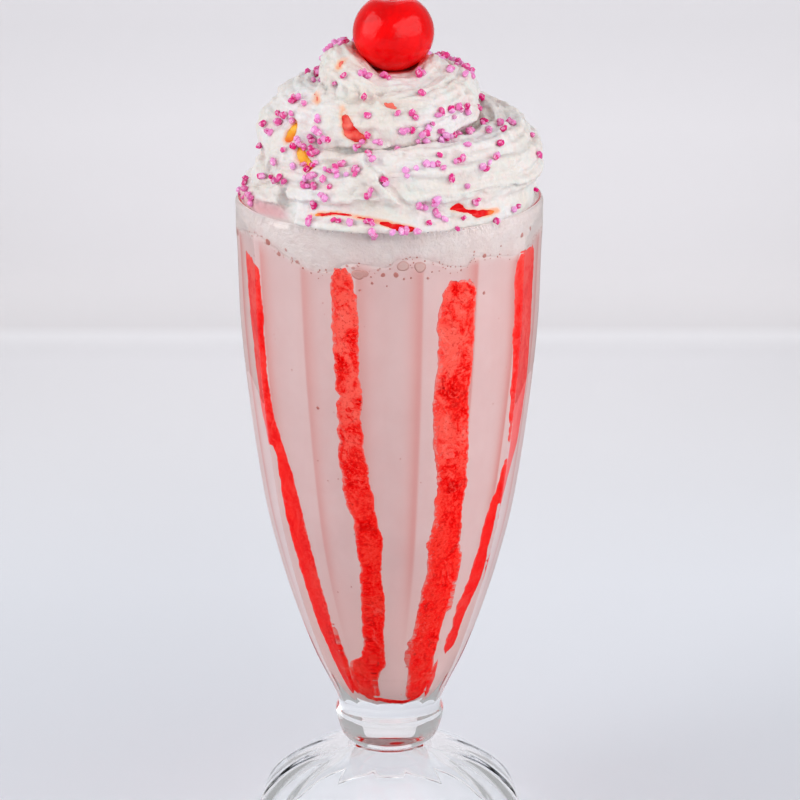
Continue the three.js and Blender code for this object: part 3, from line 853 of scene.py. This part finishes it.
CREASES = [
    ([(352, 203), (362, 204), (372, 205), (384, 202)], [0.5, 0.9, 1.1, 0.5], 0.1),
    ([(366, 160), (376, 171), (386, 184), (396, 196), (408, 206), (418, 214)], [0.4, 0.6, 0.7, 0.8, 0.7, 0.4], -0.2),
    ([(256, 186), (266, 184), (276, 182), (288, 186)], [0.7, 1.0, 1.0, 0.8], -0.1),
    ([(284, 190), (285, 200), (288, 212), (290, 221)], [1.4, 2.4, 2.6, 1.6], -0.8),
    ([(256, 203), (264, 209), (274, 214), (284, 219)], [1.4, 2.2, 2.4, 2.0], 0.2),
    ([(336, 98), (352, 100), (372, 101), (392, 101), (412, 104)], [1.0, 1.8, 1.8, 2.0, 1.0], 0.5),
    ([(324, 161), (334, 162), (342, 160)], [0.5, 0.8, 0.5], 0.0),
    ([(305, 160), (318, 164), (332, 163), (348, 164), (362, 168)], [0.4, 0.7, 0.7, 0.7, 0.4], 0.1),
    ([(400, 176), (425, 180), (452, 181), (474, 178), (500, 173), (526, 163)], [0.3, 0.7, 0.8, 0.8, 0.7, 0.3], 0.2),
    ([(410, 196), (432, 199), (458, 197), (482, 193), (508, 186), (536, 176)], [0.3, 0.6, 0.6, 0.7, 0.7, 0.3], 0.2),
    ([(392, 153), (410, 157), (430, 157), (452, 153)], [0.3, 0.6, 0.6, 0.3], 0.2),
    ([(426, 211), (444, 213), (462, 216), (484, 220)], [0.4, 0.7, 0.8, 0.4], 0.1),
    ([(343, 190), (350, 194), (356, 189)], [0.4, 0.7, 0.4], 0.1),
]
slit_paths = {}
for key, (pixels, widths) in SLITS.items():
    path = seen(pixels, 0.1)
    if len(path) == len(pixels):
        slit_paths[key] = (path, widths)
uncut = field.copy()
for path, widths in slit_paths.values():
    roll(path, widths, 0.4, add=False)
for pixels, widths, lift in CREASES:
    path = seen(pixels, lift)
    if len(path) == len(pixels):
        roll(path, widths, 0.6, add=False)


# glass wall, lip and the level of the drink cut the cream to its place
def cut_to_glass():
    rad = np.hypot(P[..., 0], P[..., 1])
    z = P[..., 2]
    wall = np.maximum(-(rad - bowl_inner(z) - 0.035), z - 182.6)
    outside = np.maximum(41.6 - rad, z - 183.97)
    lip = np.hypot(rad - 41.6, z - 182.6) - 1.37
    glass_part = np.minimum(np.minimum(wall, outside), lip)
    cut = np.maximum(field, -glass_part)
    cut = np.maximum(cut, rad - 42.9)
    az = azimuth(P)
    below = (fill_line(az[:, :, 0])[:, :, None] - 0.35) - z
    cut = np.maximum(cut, below)
    seat = np.sqrt(((P - CHERRY_CENTRE) ** 2).sum(-1)) - (CHERRY_R - 0.25)
    return np.maximum(cut, -seat)


field = cut_to_glass()

vdb = openvdb.FloatGrid(3.0)
vdb.copyFromArray(np.ascontiguousarray(np.clip(field, -3, 3).astype(np.float32)))
points, triangles, quads = vdb.convertToPolygons(0.0, 0.0)
points = np.asarray(points, float) * PITCH + GRID_LOW
quads = np.asarray(quads, int)[:, ::-1]


def face_normals(p, q):
    return np.cross(p[q[:, 2]] - p[q[:, 0]], p[q[:, 3]] - p[q[:, 1]])


def point_normals(p, q):
    f = face_normals(p, q)
    n = np.zeros_like(p)
    for k in range(4):
        np.add.at(n, q[:, k], f)
    return n / np.maximum(np.linalg.norm(n, axis=1), 1e-9)[:, None]


# faces must point out of the cream: its volume is then positive
middle = points[quads].mean(1)
if (middle * face_normals(points, quads)).sum() < 0:
    quads = quads[:, ::-1]


def path_distance(p, path, widths):
    """How far each point lies outside a path of these half widths."""
    pts, rr = along(path, widths, 0.3)
    best = np.full(len(p), 1e3)
    near = np.linalg.norm(p - pts.mean(0), axis=1) < np.linalg.norm(pts - pts.mean(0), axis=1).max() + 8
    sub = p[near]
    if len(sub):
        d = np.linalg.norm(sub[:, None] - pts[None], axis=2)
        best[near] = (d - rr[None]).min(1)
    return best


def finish_cream(p):
    """Fine relief on the rope: drawn-out lines along it, torn crests, soft lumps."""
    n = point_normals(p, quads)
    u, c, r, t, up, out = ROPE
    i = nearest_on_rope(p)
    q = p - c[i]
    psi = np.arctan2((q * up[i]).sum(1), (q * out[i]).sum(1))
    length = np.concatenate([[0], np.cumsum(np.linalg.norm(np.diff(c, axis=0), axis=1))])[i]
    turn = np.floor(u[i] * 1.0)
    drawn = np.stack([length / 7.0, psi * r[i] / 1.25, turn * 5.3 + psi * 0.3], 1)
    fine_drawn = np.stack([length / 3.2, psi * r[i] / 0.62, turn * 3.1], 1)
    free = smooth((p[:, 2] - 184.6) / 2.2)
    away = smooth((np.linalg.norm(p - CHERRY_CENTRE, axis=1) - CHERRY_R - 0.2) / 1.5)
    on_rope = smooth(1.5 - (np.linalg.norm(q, axis=1) - r[i]) / 1.5)
    torn = smooth((noise(p, 4.5, 91) - 0.05) / 0.4)
    d = 0.30 * noise(drawn, 1.0, 80) * on_rope + 0.16 * noise(fine_drawn, 1.0, 81) * on_rope
    d += 0.45 * noise(p, 7.0, 82) + 0.30 * noise(p, 3.1, 83) + 0.12 * noise(p, 1.7, 87)
    bent = p + 1.1 * np.stack([noise(p, 5.0, 201), noise(p, 5.0, 202), noise(p, 5.0, 203)], 1)
    d += 0.26 - 0.55 * np.abs(noise(bent, 3.7, 204)) + 0.42 * np.abs(noise(bent * np.array([1, 1, 1.5]), 2.5, 205)) - 0.18
    d += (0.35 + torn) * (0.30 * noise(p, 1.5, 84) + 0.12 * noise(p, 0.9, 85)) + 0.05 * noise(p, 0.9, 86)
    calm = np.ones(len(p))
    for path, widths in slit_paths.values():
        calm = np.minimum(calm, 0.15 + 0.85 * smooth(path_distance(p, path, widths) / 1.8))
    p = p + n * (d * free * away * calm)[:, None]
    # keep clear of the glass: outside the mouth nothing comes down below the lip
    rad = np.hypot(p[:, 0], p[:, 1])
    wall = bowl_inner(p[:, 2]) + 0.035
    snug = (np.abs(rad - wall) < 0.5) & (p[:, 2] < 182.4)
    scale = np.where(snug, wall / np.maximum(rad, 1e-6), np.minimum(1, 42.95 / np.maximum(rad, 1e-6)))
    p[:, :2] *= scale[:, None]
    return p


points = finish_cream(points)
cream_normals = point_normals(points, quads)


stain = np.zeros(len(points))
for key, (path, widths) in slit_paths.items():
    stain = np.maximum(stain, np.exp(-np.maximum(path_distance(points, path, widths), 0) / (0.8 if key in ("front", "right") else 1.4)))
# the same orange tint, fainter, along four creases that hold no syrup
for pixels, reach in (([(324, 162), (338, 162)], 1.6), ([(392, 148), (410, 152), (436, 154)], 2.2), ([(470, 180), (452, 181)], 1.2), ([(436, 95), (410, 98)], 1.4)):
    path = seen(pixels)
    if len(path) == len(pixels):
        stain = np.maximum(stain, 0.35 * np.exp(-np.maximum(path_distance(points, path, [0.8] * len(path)), 0) / reach))
deg = np.degrees(azimuth(points))
rad = np.hypot(points[:, 0], points[:, 1])
film = smooth((rad - 35.5) / 3) * smooth((188.5 - points[:, 2]) / 3) * smooth((points[:, 2] - 179) / 3) * smooth((deg + 100) / 12) * smooth((-44 - deg) / 8)
line = points[:, 2] - (fill_line(azimuth(points)) + 1.5 + 0.8 * noise(points, 2.2, 8))
low = smooth(-(line - 1.2) / 4.5) * (rad > 30)


def cream_material():
    n = Nodes("whipped_cream")
    broad = n.noise(55, 3, 0.55)
    fine = n.noise(1500, 3, 0.6)
    torn = n.noise(420, 4, 0.6)
    tone = n.mix(n.map(broad, 0.3, 0.7), srgb(227, 221, 214), srgb(233, 230, 229))
    tone = n.mix(n.math("MULTIPLY", n.map(torn, 0.5, 0.75), 0.4), tone, srgb(220, 212, 204))
    patchy = n.noise(210, 3, 0.6, 0.8)
    tone = n.mix(n.math("MULTIPLY", n.map(patchy, 0.52, 0.66), 0.55), tone, srgb(234, 218, 214))
    tone = n.mix(n.math("MULTIPLY", n.map(patchy, 0.34, 0.47, 1.0, 0.0), 0.55), tone, srgb(222, 227, 223))
    stain = n.attribute("stain")
    spread = n.math("MULTIPLY", stain, n.map(n.noise(260, 3, 0.6), 0.25, 0.7, 0.4, 1.0))
    tone = n.mix(n.math("MULTIPLY", n.map(spread, 0.25, 1.0), 0.75), tone, srgb(248, 176, 132))
    tone = n.mix(n.math("MULTIPLY", n.attribute("film"), 0.8), tone, srgb(222, 176, 180))
    # red on the cream where the cherry sits: juice, and painted light that lifts the shade in the crevice under the
    # cherry
    tone = n.mix(n.math("MULTIPLY", n.attribute("juice"), 0.8), tone, srgb(236, 60, 58))
    tone = n.mix(n.math("MULTIPLY", n.attribute("low"), 0.8), tone, srgb(236, 222, 221))
    # painted light: cream behind the glass wall gets its own greyer tones, set for the light that reaches it through
    # the glass; near the drink line it is pinker
    tone = n.mix(n.attribute("inside"), tone, n.mix(n.map(n.noise(160, 3, 0.6), 0.35, 0.65), srgb(216, 208, 206), srgb(213, 202, 200)))
    tone = n.mix(n.math("MULTIPLY", n.attribute("low"), n.attribute("inside")), tone, srgb(213, 194, 192))
    n.set(Base_Color=tone, Roughness=n.map(torn, 0.3, 0.7, 0.5, 0.65), Subsurface_Weight=0.35,
          Subsurface_Radius=(1.0, 0.85, 0.7), Subsurface_Scale=0.0012, IOR=1.4)
    n.shader.inputs["Specular IOR Level"].default_value = 0.25
    n.set(Normal=n.bump(fine, 0.45, 0.0004, n.bump(torn, 0.65, 0.0009)))
    return n.material


# mask for the painted light on the cream below the lip, behind the glass wall
inside = smooth((184.2 - points[:, 2]) / 1.4) * (rad > 34)
# cream round the cherry's seat: mask for the juice and for the painted light in that crevice
juice = smooth((CHERRY_R * CHERRY_SHAPE + 1.1 - np.linalg.norm(points - CHERRY_CENTRE, axis=1)) / 1.0)
cream = make("cream_swirl", points, quads.tolist(), attributes={
    "stain": stain, "film": film, "low": low, "inside": inside, "juice": juice})
cream.data.materials.append(cream_material())
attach(cream, "root")
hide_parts("whipped_cream")
cream_tree = BVHTree.FromPolygons((points * MM).tolist(), quads.tolist())


def cast(x, y):
    """Point and outward direction of the finished cream under a pixel of the picture."""
    hit = cream_tree.ray_cast(Vector(eye * MM), Vector(view_ray(x, y)))
    if hit[0] is None:
        return None
    normal = hit[1] if hit[1].dot(Vector(view_ray(x, y))) < 0 else -hit[1]
    return np.array(hit[0]) / MM, np.array(normal)


# ------------------------------------------------------------------ syrup caught in the cream
def syrup_pools():
    """Syrup lying in each slit, a little below the cream around it."""
    co, faces, hue = [], [], []
    total = 0
    fine = 0.26
    for key, (path, widths) in slit_paths.items():
        pts, rr = along(path, [w + 0.25 for w in widths], 0.25)
        low = pts.min(0) - 2.6
        count = np.ceil((pts.max(0) + 2.6 - low) / fine).astype(int)
        axes = [low[k] + fine * np.arange(count[k]) for k in range(3)]
        Q = np.stack(np.meshgrid(*axes, indexing="ij"), -1).astype(np.float32)
        d = np.full(Q.shape[:3], 1e3, np.float32)
        for p, r in zip(pts.astype(np.float32), rr):
            d = np.minimum(d, np.sqrt(((Q - p) ** 2).sum(-1)) - np.float32(r))
        level = field_at(Q, uncut) + 0.30 + 0.22 * noise(Q, 1.6, 103)
        d = d + 0.22 * noise(Q, 1.3, 101)
        body = -smin(-d, -level, 0.35)
        grid = openvdb.FloatGrid(3.0)
        grid.copyFromArray(np.ascontiguousarray(np.clip(body, -3, 3).astype(np.float32)))
        p, _, q = grid.convertToPolygons(0.0, 0.0)
        if not len(q):
            continue
        p = np.asarray(p, float) * fine + low
        q = np.asarray(q, int)[:, ::-1]
        if (p[q].mean(1) * face_normals(p, q)).sum() < 0:
            q = q[:, ::-1]
        share = (p[:, 0] - p[:, 0].min()) / max(np.ptp(p[:, 0]), 1e-6)
        fall = (p[:, 2].max() - p[:, 2]) / max(np.ptp(p[:, 2]), 1e-6)
        h = {"front": 0.15 + 0.85 * smooth(share / 0.14), "right": 0.35 + 0.6 * smooth((1 - share) / 0.35),
             "comma": 1.22 - 0.12 * share, "left_a": 0.02 + 0.42 * smooth(fall / 0.9 - 0.2),
             "left_b": 0.02 + 0.40 * smooth(fall / 0.9 - 0.35), "small": 1.5 + 0 * share, "stroke": 1.4 + 0 * share,
             "curl": 1.5 + 0 * share}[key]
        co.append(p)
        faces += (q + total).tolist()
        hue.append(h + 0.12 * noise(p, 1.8, 104))
        total += len(p)
    return np.concatenate(co), faces, np.concatenate(hue)


def pool_material():
    n = Nodes("syrup_pools")
    hue = n.attribute("hue")
    cloudy = n.noise(380, 3, 0.6)
    colour = n.mix(n.map(hue, 0.05, 0.45), srgb(246, 192, 78), srgb(242, 132, 70))
    colour = n.mix(n.map(hue, 0.4, 0.85), colour, srgb(226, 14, 26))
    colour = n.mix(n.math("MULTIPLY", n.map(cloudy, 0.45, 0.7), n.map(hue, 0.4, 0.85, 0.1, 0.45)), colour, srgb(196, 6, 22))
    # the thin ones that the cream has half covered
    colour = n.mix(n.map(n.math("ADD", hue, n.math("MULTIPLY", cloudy, 0.5)), 1.25, 1.55), colour, srgb(238, 132, 118))
    n.set(Base_Color=colour, Roughness=n.map(cloudy, 0.3, 0.7, 0.12, 0.28), Subsurface_Weight=0.3,
          Subsurface_Radius=(1.0, 0.25, 0.1), Subsurface_Scale=0.0008, IOR=1.4)
    n.set(Normal=n.bump(cloudy, 0.2, 0.0003))
    return n.material


co, faces, hue = syrup_pools()
pools = make("syrup_pools", co, faces, attributes={"hue": hue})
pools.data.materials.append(pool_material())
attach(pools, "root")

# ------------------------------------------------------------------ coarse sugar crystals
# Runs of crystals in front: pixel of the picture, how far the run goes, how many.
CRYSTAL_RUNS = [
    (320, 57, 0, 0, 1), (316, 72, -2, 8, 2), (335, 84, 0, 0, 1), (343, 74, 0, 0, 1), (360, 74, 8, 1, 2), (384, 76, 7, 3, 2),
    (419, 73, 5, 4, 3), (434, 53, 9, 3, 3), (447, 67, 3, 3, 2), (465, 77, 0, 0, 1), (363, 96, 0, 0, 1), (419, 92, 5, 5, 2),
    (397, 114, 0, 0, 1), (411, 115, 8, 2, 2), (484, 100, 0, 0, 1), (300, 97, -8, 6, 2), (304, 104, 0, 0, 1),
    (280, 112, 15, 2, 3), (279, 121, -1, 3, 2), (264, 125, 0, 0, 1), (271, 132, 0, 0, 1), (260, 144, 0, 0, 1), (294, 121, 0, 0, 1),
    (318, 116, 1, 6, 2), (318, 130, 2, 3, 2), (312, 137, 1, 6, 2), (321, 140, 6, -1, 2), (299, 139, 0, 3, 2), (294, 147, -10, 3, 2),
    (303, 147, 10, 1, 3), (312, 153, 3, 1, 2), (276, 161, 0, 0, 1), (293, 167, 3, 2, 2), (302, 165, 5, 6, 3), (315, 166, 0, 0, 1),
    (307, 178, 7, -3, 2), (323, 180, 0, 0, 1), (306, 188, 8, 1, 2), (325, 169, 6, 5, 2), (336, 171, 2, 6, 3), (332, 187, 0, 0, 1),
    (343, 164, -6, 3, 2), (346, 174, 0, 0, 1), (354, 168, 2, 9, 3), (359, 173, 0, 0, 1), (322, 196, 4, 4, 3), (314, 201, 0, 7, 2),
    (367, 195, 4, -5, 3), (384, 180, 2, 4, 2), (362, 142, -5, 5, 3), (376, 141, 3, 3, 3), (368, 136, 0, 0, 1), (369, 153, 5, 5, 2),
    (368, 116, 0, 0, 1), (398, 147, 0, 0, 1), (402, 130, 9, 1, 3), (418, 142, 9, -1, 3), (422, 133, 4, -3, 2), (433, 124, 1, 0, 1),
    (437, 117, 5, -6, 3), (450, 109, 0, 3, 1), (453, 118, 0, 0, 1), (457, 109, 7, -3, 3), (465, 113, 0, 0, 1),
    (440, 130, 8, 8, 4), (447, 139, 6, -2, 3), (456, 134, 0, 0, 1), (440, 142, 0, 0, 1), (470, 133, 0, 0, 2), (466, 147, 0, 0, 1),
    (484, 122, 1, 2, 2), (490, 133, 0, 0, 1), (498, 143, 0, 0, 1), (499, 122, 4, 7, 4), (509, 123, 5, 2, 2), (532, 137, 0, 0, 1),
    (537, 155, 0, 0, 1), (439, 154, 0, 0, 1), (455, 162, 7, -3, 3), (482, 166, 3, 2, 2), (489, 163, 7, -5, 3), (426, 165, 22, 3, 7),
    (416, 168, 0, 3, 2), (405, 172, 2, 6, 3), (449, 177, 0, 0, 2), (465, 186, 0, 0, 1), (479, 198, -6, 4, 2), (438, 200, -6, 1, 2),
    (416, 207, 8, 0, 3), (434, 214, 2, 3, 3), (444, 221, 0, 0, 1), (429, 223, 0, 0, 1), (455, 227, 3, 1, 2), (463, 219, 0, 0, 1),
    (496, 220, 0, 0, 1), (518, 204, -7, 6, 2), (535, 191, 0, 0, 1), (262, 178, 0, 0, 1), (271, 178, 8, -1, 3), (284, 180, 3, 2, 2),
    (246, 181, 1, 7, 2), (241, 193, 0, 0, 1), (249, 193, 4, 9, 3), (309, 222, -2, 1, 2), (335, 220, 2, 1, 2), (351, 224, 0, 0, 1),
    (365, 222, 8, 4, 5), (372, 230, 4, 4, 3), (376, 234, 0, 2, 1), (391, 231, 0, 0, 1), (401, 232, 4, -1, 2), (416, 229, 0, 0, 1),
]


def crystal_shapes(rng, count=14):
    """Broken, six-sided grains: the hull of a squat prism with knocked-off corners."""
    import bmesh
    shapes = []
    for k in range(count):
        bm = bmesh.new()
        turns = np.arange(6) * math.pi / 3 + rng.uniform(-0.25, 0.25, 6)
        for z, grow in ((-0.62, 0.72), (-0.25, 1.0), (0.3, 0.97), (0.64, 0.66)):
            for t in turns:
                g = grow * rng.uniform(0.84, 1.08)
                bm.verts.new((g * math.cos(t), g * math.sin(t) * 0.86, z * rng.uniform(0.85, 1.15)))
        out = bmesh.ops.convex_hull(bm, input=bm.verts)
        loose = [v for v in bm.verts if not v.link_faces]
        bmesh.ops.delete(bm, geom=loose, context="VERTS")
        bmesh.ops.recalc_face_normals(bm, faces=bm.faces)
        bm.verts.index_update()
        shapes.append((np.array([v.co for v in bm.verts]), [[v.index for v in f.verts] for f in bm.faces]))
        bm.free()
    return shapes


def turn_matrix(rng):
    q = rng.normal(size=4)
    q /= np.linalg.norm(q)
    w, x, y, z = q
    return np.array([[1 - 2 * (y * y + z * z), 2 * (x * y - z * w), 2 * (x * z + y * w)],
                     [2 * (x * y + z * w), 1 - 2 * (x * x + z * z), 2 * (y * z - x * w)],
                     [2 * (x * z - y * w), 2 * (y * z + x * w), 1 - 2 * (x * x + y * y)]])


def sugar():
    rng = np.random.default_rng(5)
    shapes = crystal_shapes(rng)
    placed, co, faces, tone = [], [], [], []
    total = 0

    def put(p, n, size):
        nonlocal total
        if placed and np.linalg.norm(np.array(placed) - p, axis=1).min() < 0.55 * size:
            return
        placed.append(p)
        size *= 1.40
        v, f = shapes[rng.integers(len(shapes))]
        m = turn_matrix(rng)
        v = (v * np.array([1.0, rng.uniform(0.75, 0.95), rng.uniform(0.7, 0.95)]) * size / 2) @ m.T + p + n * size * 0.27
        co.append(v)
        faces.extend([[i + total for i in face] for face in f])
        tone.append(np.full(len(v), rng.random()))
        total += len(v)

    for x, y, dx, dy, count in CRYSTAL_RUNS:
        count = count + (count > 1) + (rng.random() < 0.35)
        for k in range(count):
            t = k / max(count - 1, 1)
            h = cast(x + dx * t + rng.uniform(-1.6, 1.6), y + dy * t + rng.uniform(-1.6, 1.6))
            if h is not None:
                put(h[0], h[1], rng.uniform(1.35, 2.1))
    # on the rim at the left, and one that clings to the outside of it
    for a, r, z in ((-86, 41.4, 184.5), (-79, 41.0, 184.6), (-93, 42.0, 184.3)):
        put(polar(r, math.radians(a), z), np.array([0, 0, 1.0]), 1.5)
    # sides and back: thrown on from above in loose groups
    groups = [(a, rng.uniform(0.15, 0.95)) for a in np.radians(np.arange(70, 284, 3.9))]
    for a, share in groups:
        r0 = 13 + 27 * share ** 0.8
        for k in range(rng.integers(2, 7)):
            aa = a + rng.normal(0, 1.6) / r0
            rr = r0 + rng.normal(0, 1.8)
            start = polar(rr, aa, 245)
            slant = Vector((float(-math.sin(aa) * 0.25), float(math.cos(aa) * 0.25), -1)).normalized()
            hit = cream_tree.ray_cast(Vector(start * MM), slant)
            if hit[0] is None:
                continue
            p = np.array(hit[0]) / MM
            if np.linalg.norm(p - CHERRY_CENTRE) < CHERRY_R + 1.2 or p[2] < 184.5:
                continue
            # those in view are placed one by one above
            sight = Vector((eye * MM - hit[0]).tolist()).normalized()
            if cream_tree.ray_cast(hit[0] + sight * 0.0012, sight)[0] is None:
                continue
            n = hit[1] if hit[1].dot(slant) < 0 else -hit[1]
            put(p, np.array(n), rng.uniform(1.35, 2.1))
    return np.concatenate(co), faces, np.concatenate(tone)


def sugar_material():
    n = Nodes("sugar_crystals")
    tone = n.attribute("tone")
    cloudy = n.noise(1100, 3, 0.55)
    colour = n.mix(tone, srgb(240, 14, 140), srgb(255, 190, 242))
    colour = n.mix(n.math("MULTIPLY", n.map(cloudy, 0.48, 0.62), 0.7), colour, srgb(255, 220, 242))
    n.set(Base_Color=colour, Roughness=n.map(cloudy, 0.3, 0.7, 0.10, 0.28), IOR=1.45, Transmission_Weight=0.2)
    return n.material


co, faces, tone = sugar()
crystals = make("sugar_crystals", co, faces, smooth_shade=False, attributes={"tone": tone})
crystals.data.materials.append(sugar_material())
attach(crystals, "root")

# ------------------------------------------------------------------ cherry
def cherry_body():
    n, rows = 96, 60
    a = np.arange(n) / n * TAU
    out = []
    for i in range(1, rows):
        t = math.pi * i / rows
        r = CHERRY_SHAPE * CHERRY_R * math.sin(t) * (1 + 0.012 * np.cos(2 * a + 0.4) + 0.006 * np.cos(3 * a + 2))
        z = -CHERRY_R * math.cos(t) * 0.985 + 0 * a
        if t > math.pi / 2:
            z = z - 2.2 * np.exp(-((r / 3.4) ** 2))
        out.append(polar(r, a, z) + CHERRY_CENTRE)
    return rings_mesh(np.stack(out), CHERRY_CENTRE[2] - CHERRY_R * 0.985, CHERRY_CENTRE[2] + CHERRY_R * 0.985 - 2.2)


def cherry_material():
    n = Nodes("cherry")
    cloudy = n.noise(70, 4, 0.6, 0.6)
    red = n.mix(n.map(cloudy, 0.34, 0.66), srgb(214, 0, 8), srgb(246, 0, 10))
    n.set(Base_Color=red, Roughness=n.map(cloudy, 0.3, 0.7, 0.08, 0.16), Subsurface_Weight=0.3,
          Subsurface_Radius=(1.0, 0.12, 0.08), Subsurface_Scale=0.003, IOR=1.45,
          Coat_Weight=0.28, Coat_Roughness=0.05)
    n.shader.inputs["Specular IOR Level"].default_value = 0.4
    n.set(Normal=n.bump(n.noise(150, 3, 0.6, 1.2), 0.30, 0.0012, n.bump(n.noise(650, 3, 0.6), 0.32, 0.0004)))
    return n.material


co, faces = cherry_body()
cherry = make("cherry_fruit", co, faces)
cherry.data.materials.append(cherry_material())
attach(cherry, "root")
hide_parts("cherry")

# ------------------------------------------------------------------ floor, wall and light
def stage_material():
    n = Nodes("stage")
    cloth = n.noise(2.2, 2)
    wall = n.mix(n.map(cloth, 0.3, 0.7), (0.774, 0.759, 0.777), (0.784, 0.769, 0.787))
    near = n.mix(n.map(cloth, 0.3, 0.7), (0.838, 0.861, 0.912), (0.846, 0.869, 0.920))
    far = n.mix(n.map(cloth, 0.3, 0.7), (0.866, 0.860, 0.884), (0.874, 0.868, 0.892))
    table = n.mix(n.attribute("far"), near, far)
    both = n.mix(n.attribute("table"), wall, table)
    # painted shade: the backdrop's colour is multiplied by the shade of its row
    both = n.mix(n.attribute("shade"), (0.0, 0.0, 0.0), both)
    # painted shadow: the floor under the glass's foot is 11 % darker within 30 mm of the axis, fading out by 42 mm
    reach = n.new("ShaderNodeVectorMath", operation="LENGTH")
    n.link(n.space, reach.inputs[0])
    both = n.mix(n.map(reach.outputs["Value"], 0.030, 0.042, 0.11, 0.0), both, (0.0, 0.0, 0.0))
    n.set(Base_Color=both, Roughness=0.7)
    n.shader.inputs["Specular IOR Level"].default_value = 0.2
    return n.material


def stage():
    profile = [(-3.0, 0.0), (-1.0, 0.0), (0.0, 0.0), (0.1, 0.0), (0.2, 0.0), (0.28, 0.0), (0.301, 0.0), (0.35, 0.0), (0.41, 0.0), (0.455, 0.0), (0.47, 0.0)]
    profile += [(0.47 + 0.03 * math.sin(t), 0.03 - 0.03 * math.cos(t)) for t in np.linspace(0.2, math.pi / 2, 8)]
    profile += [(0.50, 0.05), (0.50, 0.08), (0.50, 0.12), (0.50, 0.3), (0.50, 1.0), (0.50, 2.2)]
    xs = np.linspace(-2.6, 2.6, 9)
    co = [(x * (0.066 if y > 0.3 else 1.0), y, z) for y, z in profile for x in xs]
    faces = ring_faces(len(profile), len(xs), closed=False)
    # painted shade per row of the profile: darker towards the front of the floor and in the corner, lighter up the wall
    shade_at = [0.90, 0.90, 0.89, 0.935, 0.975, 0.970, 0.966, 0.966, 0.955, 0.940, 0.905] + [0.878, 0.878, 0.878, 0.880, 0.888, 0.902, 0.920, 0.940] + [0.962, 0.970, 0.918, 0.985, 1.0, 1.0]
    o = make("backdrop", np.array(co) * 1000, faces, attributes={
        "table": [1.0 if z < 0.003 else 0.0 for x, y, z in co],
        "far": [float(smooth((y - 0.1) / 0.35)) for x, y, z in co],
        "shade": np.repeat(shade_at, len(xs))})
    o.data.materials.append(stage_material())


stage()


def softbox(name, direction, distance, size_x, size_y, power, colour=(1, 1, 1)):
    light = bpy.data.lights.new(name, "AREA")
    light.shape = "RECTANGLE"
    light.size, light.size_y = size_x, size_y
    light.energy = power
    light.color = colour
    o = bpy.data.objects.new(name, light)
    target = Vector((0, 0, 0.13))
    d = Vector(direction).normalized()
    o.location = target + d * distance
    o.rotation_euler = (-d).to_track_quat("-Z", "Y").to_euler()
    scene.collection.objects.link(o)
    return o


def toward(az, el):
    """Direction from the object: azimuth from the front towards +X, and height, in degrees."""
    a, e = math.radians(az), math.radians(el)
    return (math.sin(a) * math.cos(e), -math.cos(a) * math.cos(e), math.sin(e))


softbox("light_right", toward(50, 26), 1.7, 2.7, 1.6, 17.4)
softbox("light_left", toward(-76, 26), 1.5, 1.4, 1.6, 10.1)

world = bpy.data.worlds.new("world")
scene.world = world
world.use_nodes = True
world.node_tree.nodes["Background"].inputs[0].default_value = (0.98, 0.985, 1.0, 1)
world.node_tree.nodes["Background"].inputs[1].default_value = 0.345

scene.view_settings.view_transform = "Standard"
scene.view_settings.look = "High Contrast"
scene.cycles.max_bounces = 20
scene.cycles.diffuse_bounces = 10
scene.cycles.glossy_bounces = 8
scene.cycles.transmission_bounces = 12
scene.cycles.transparent_max_bounces = 8
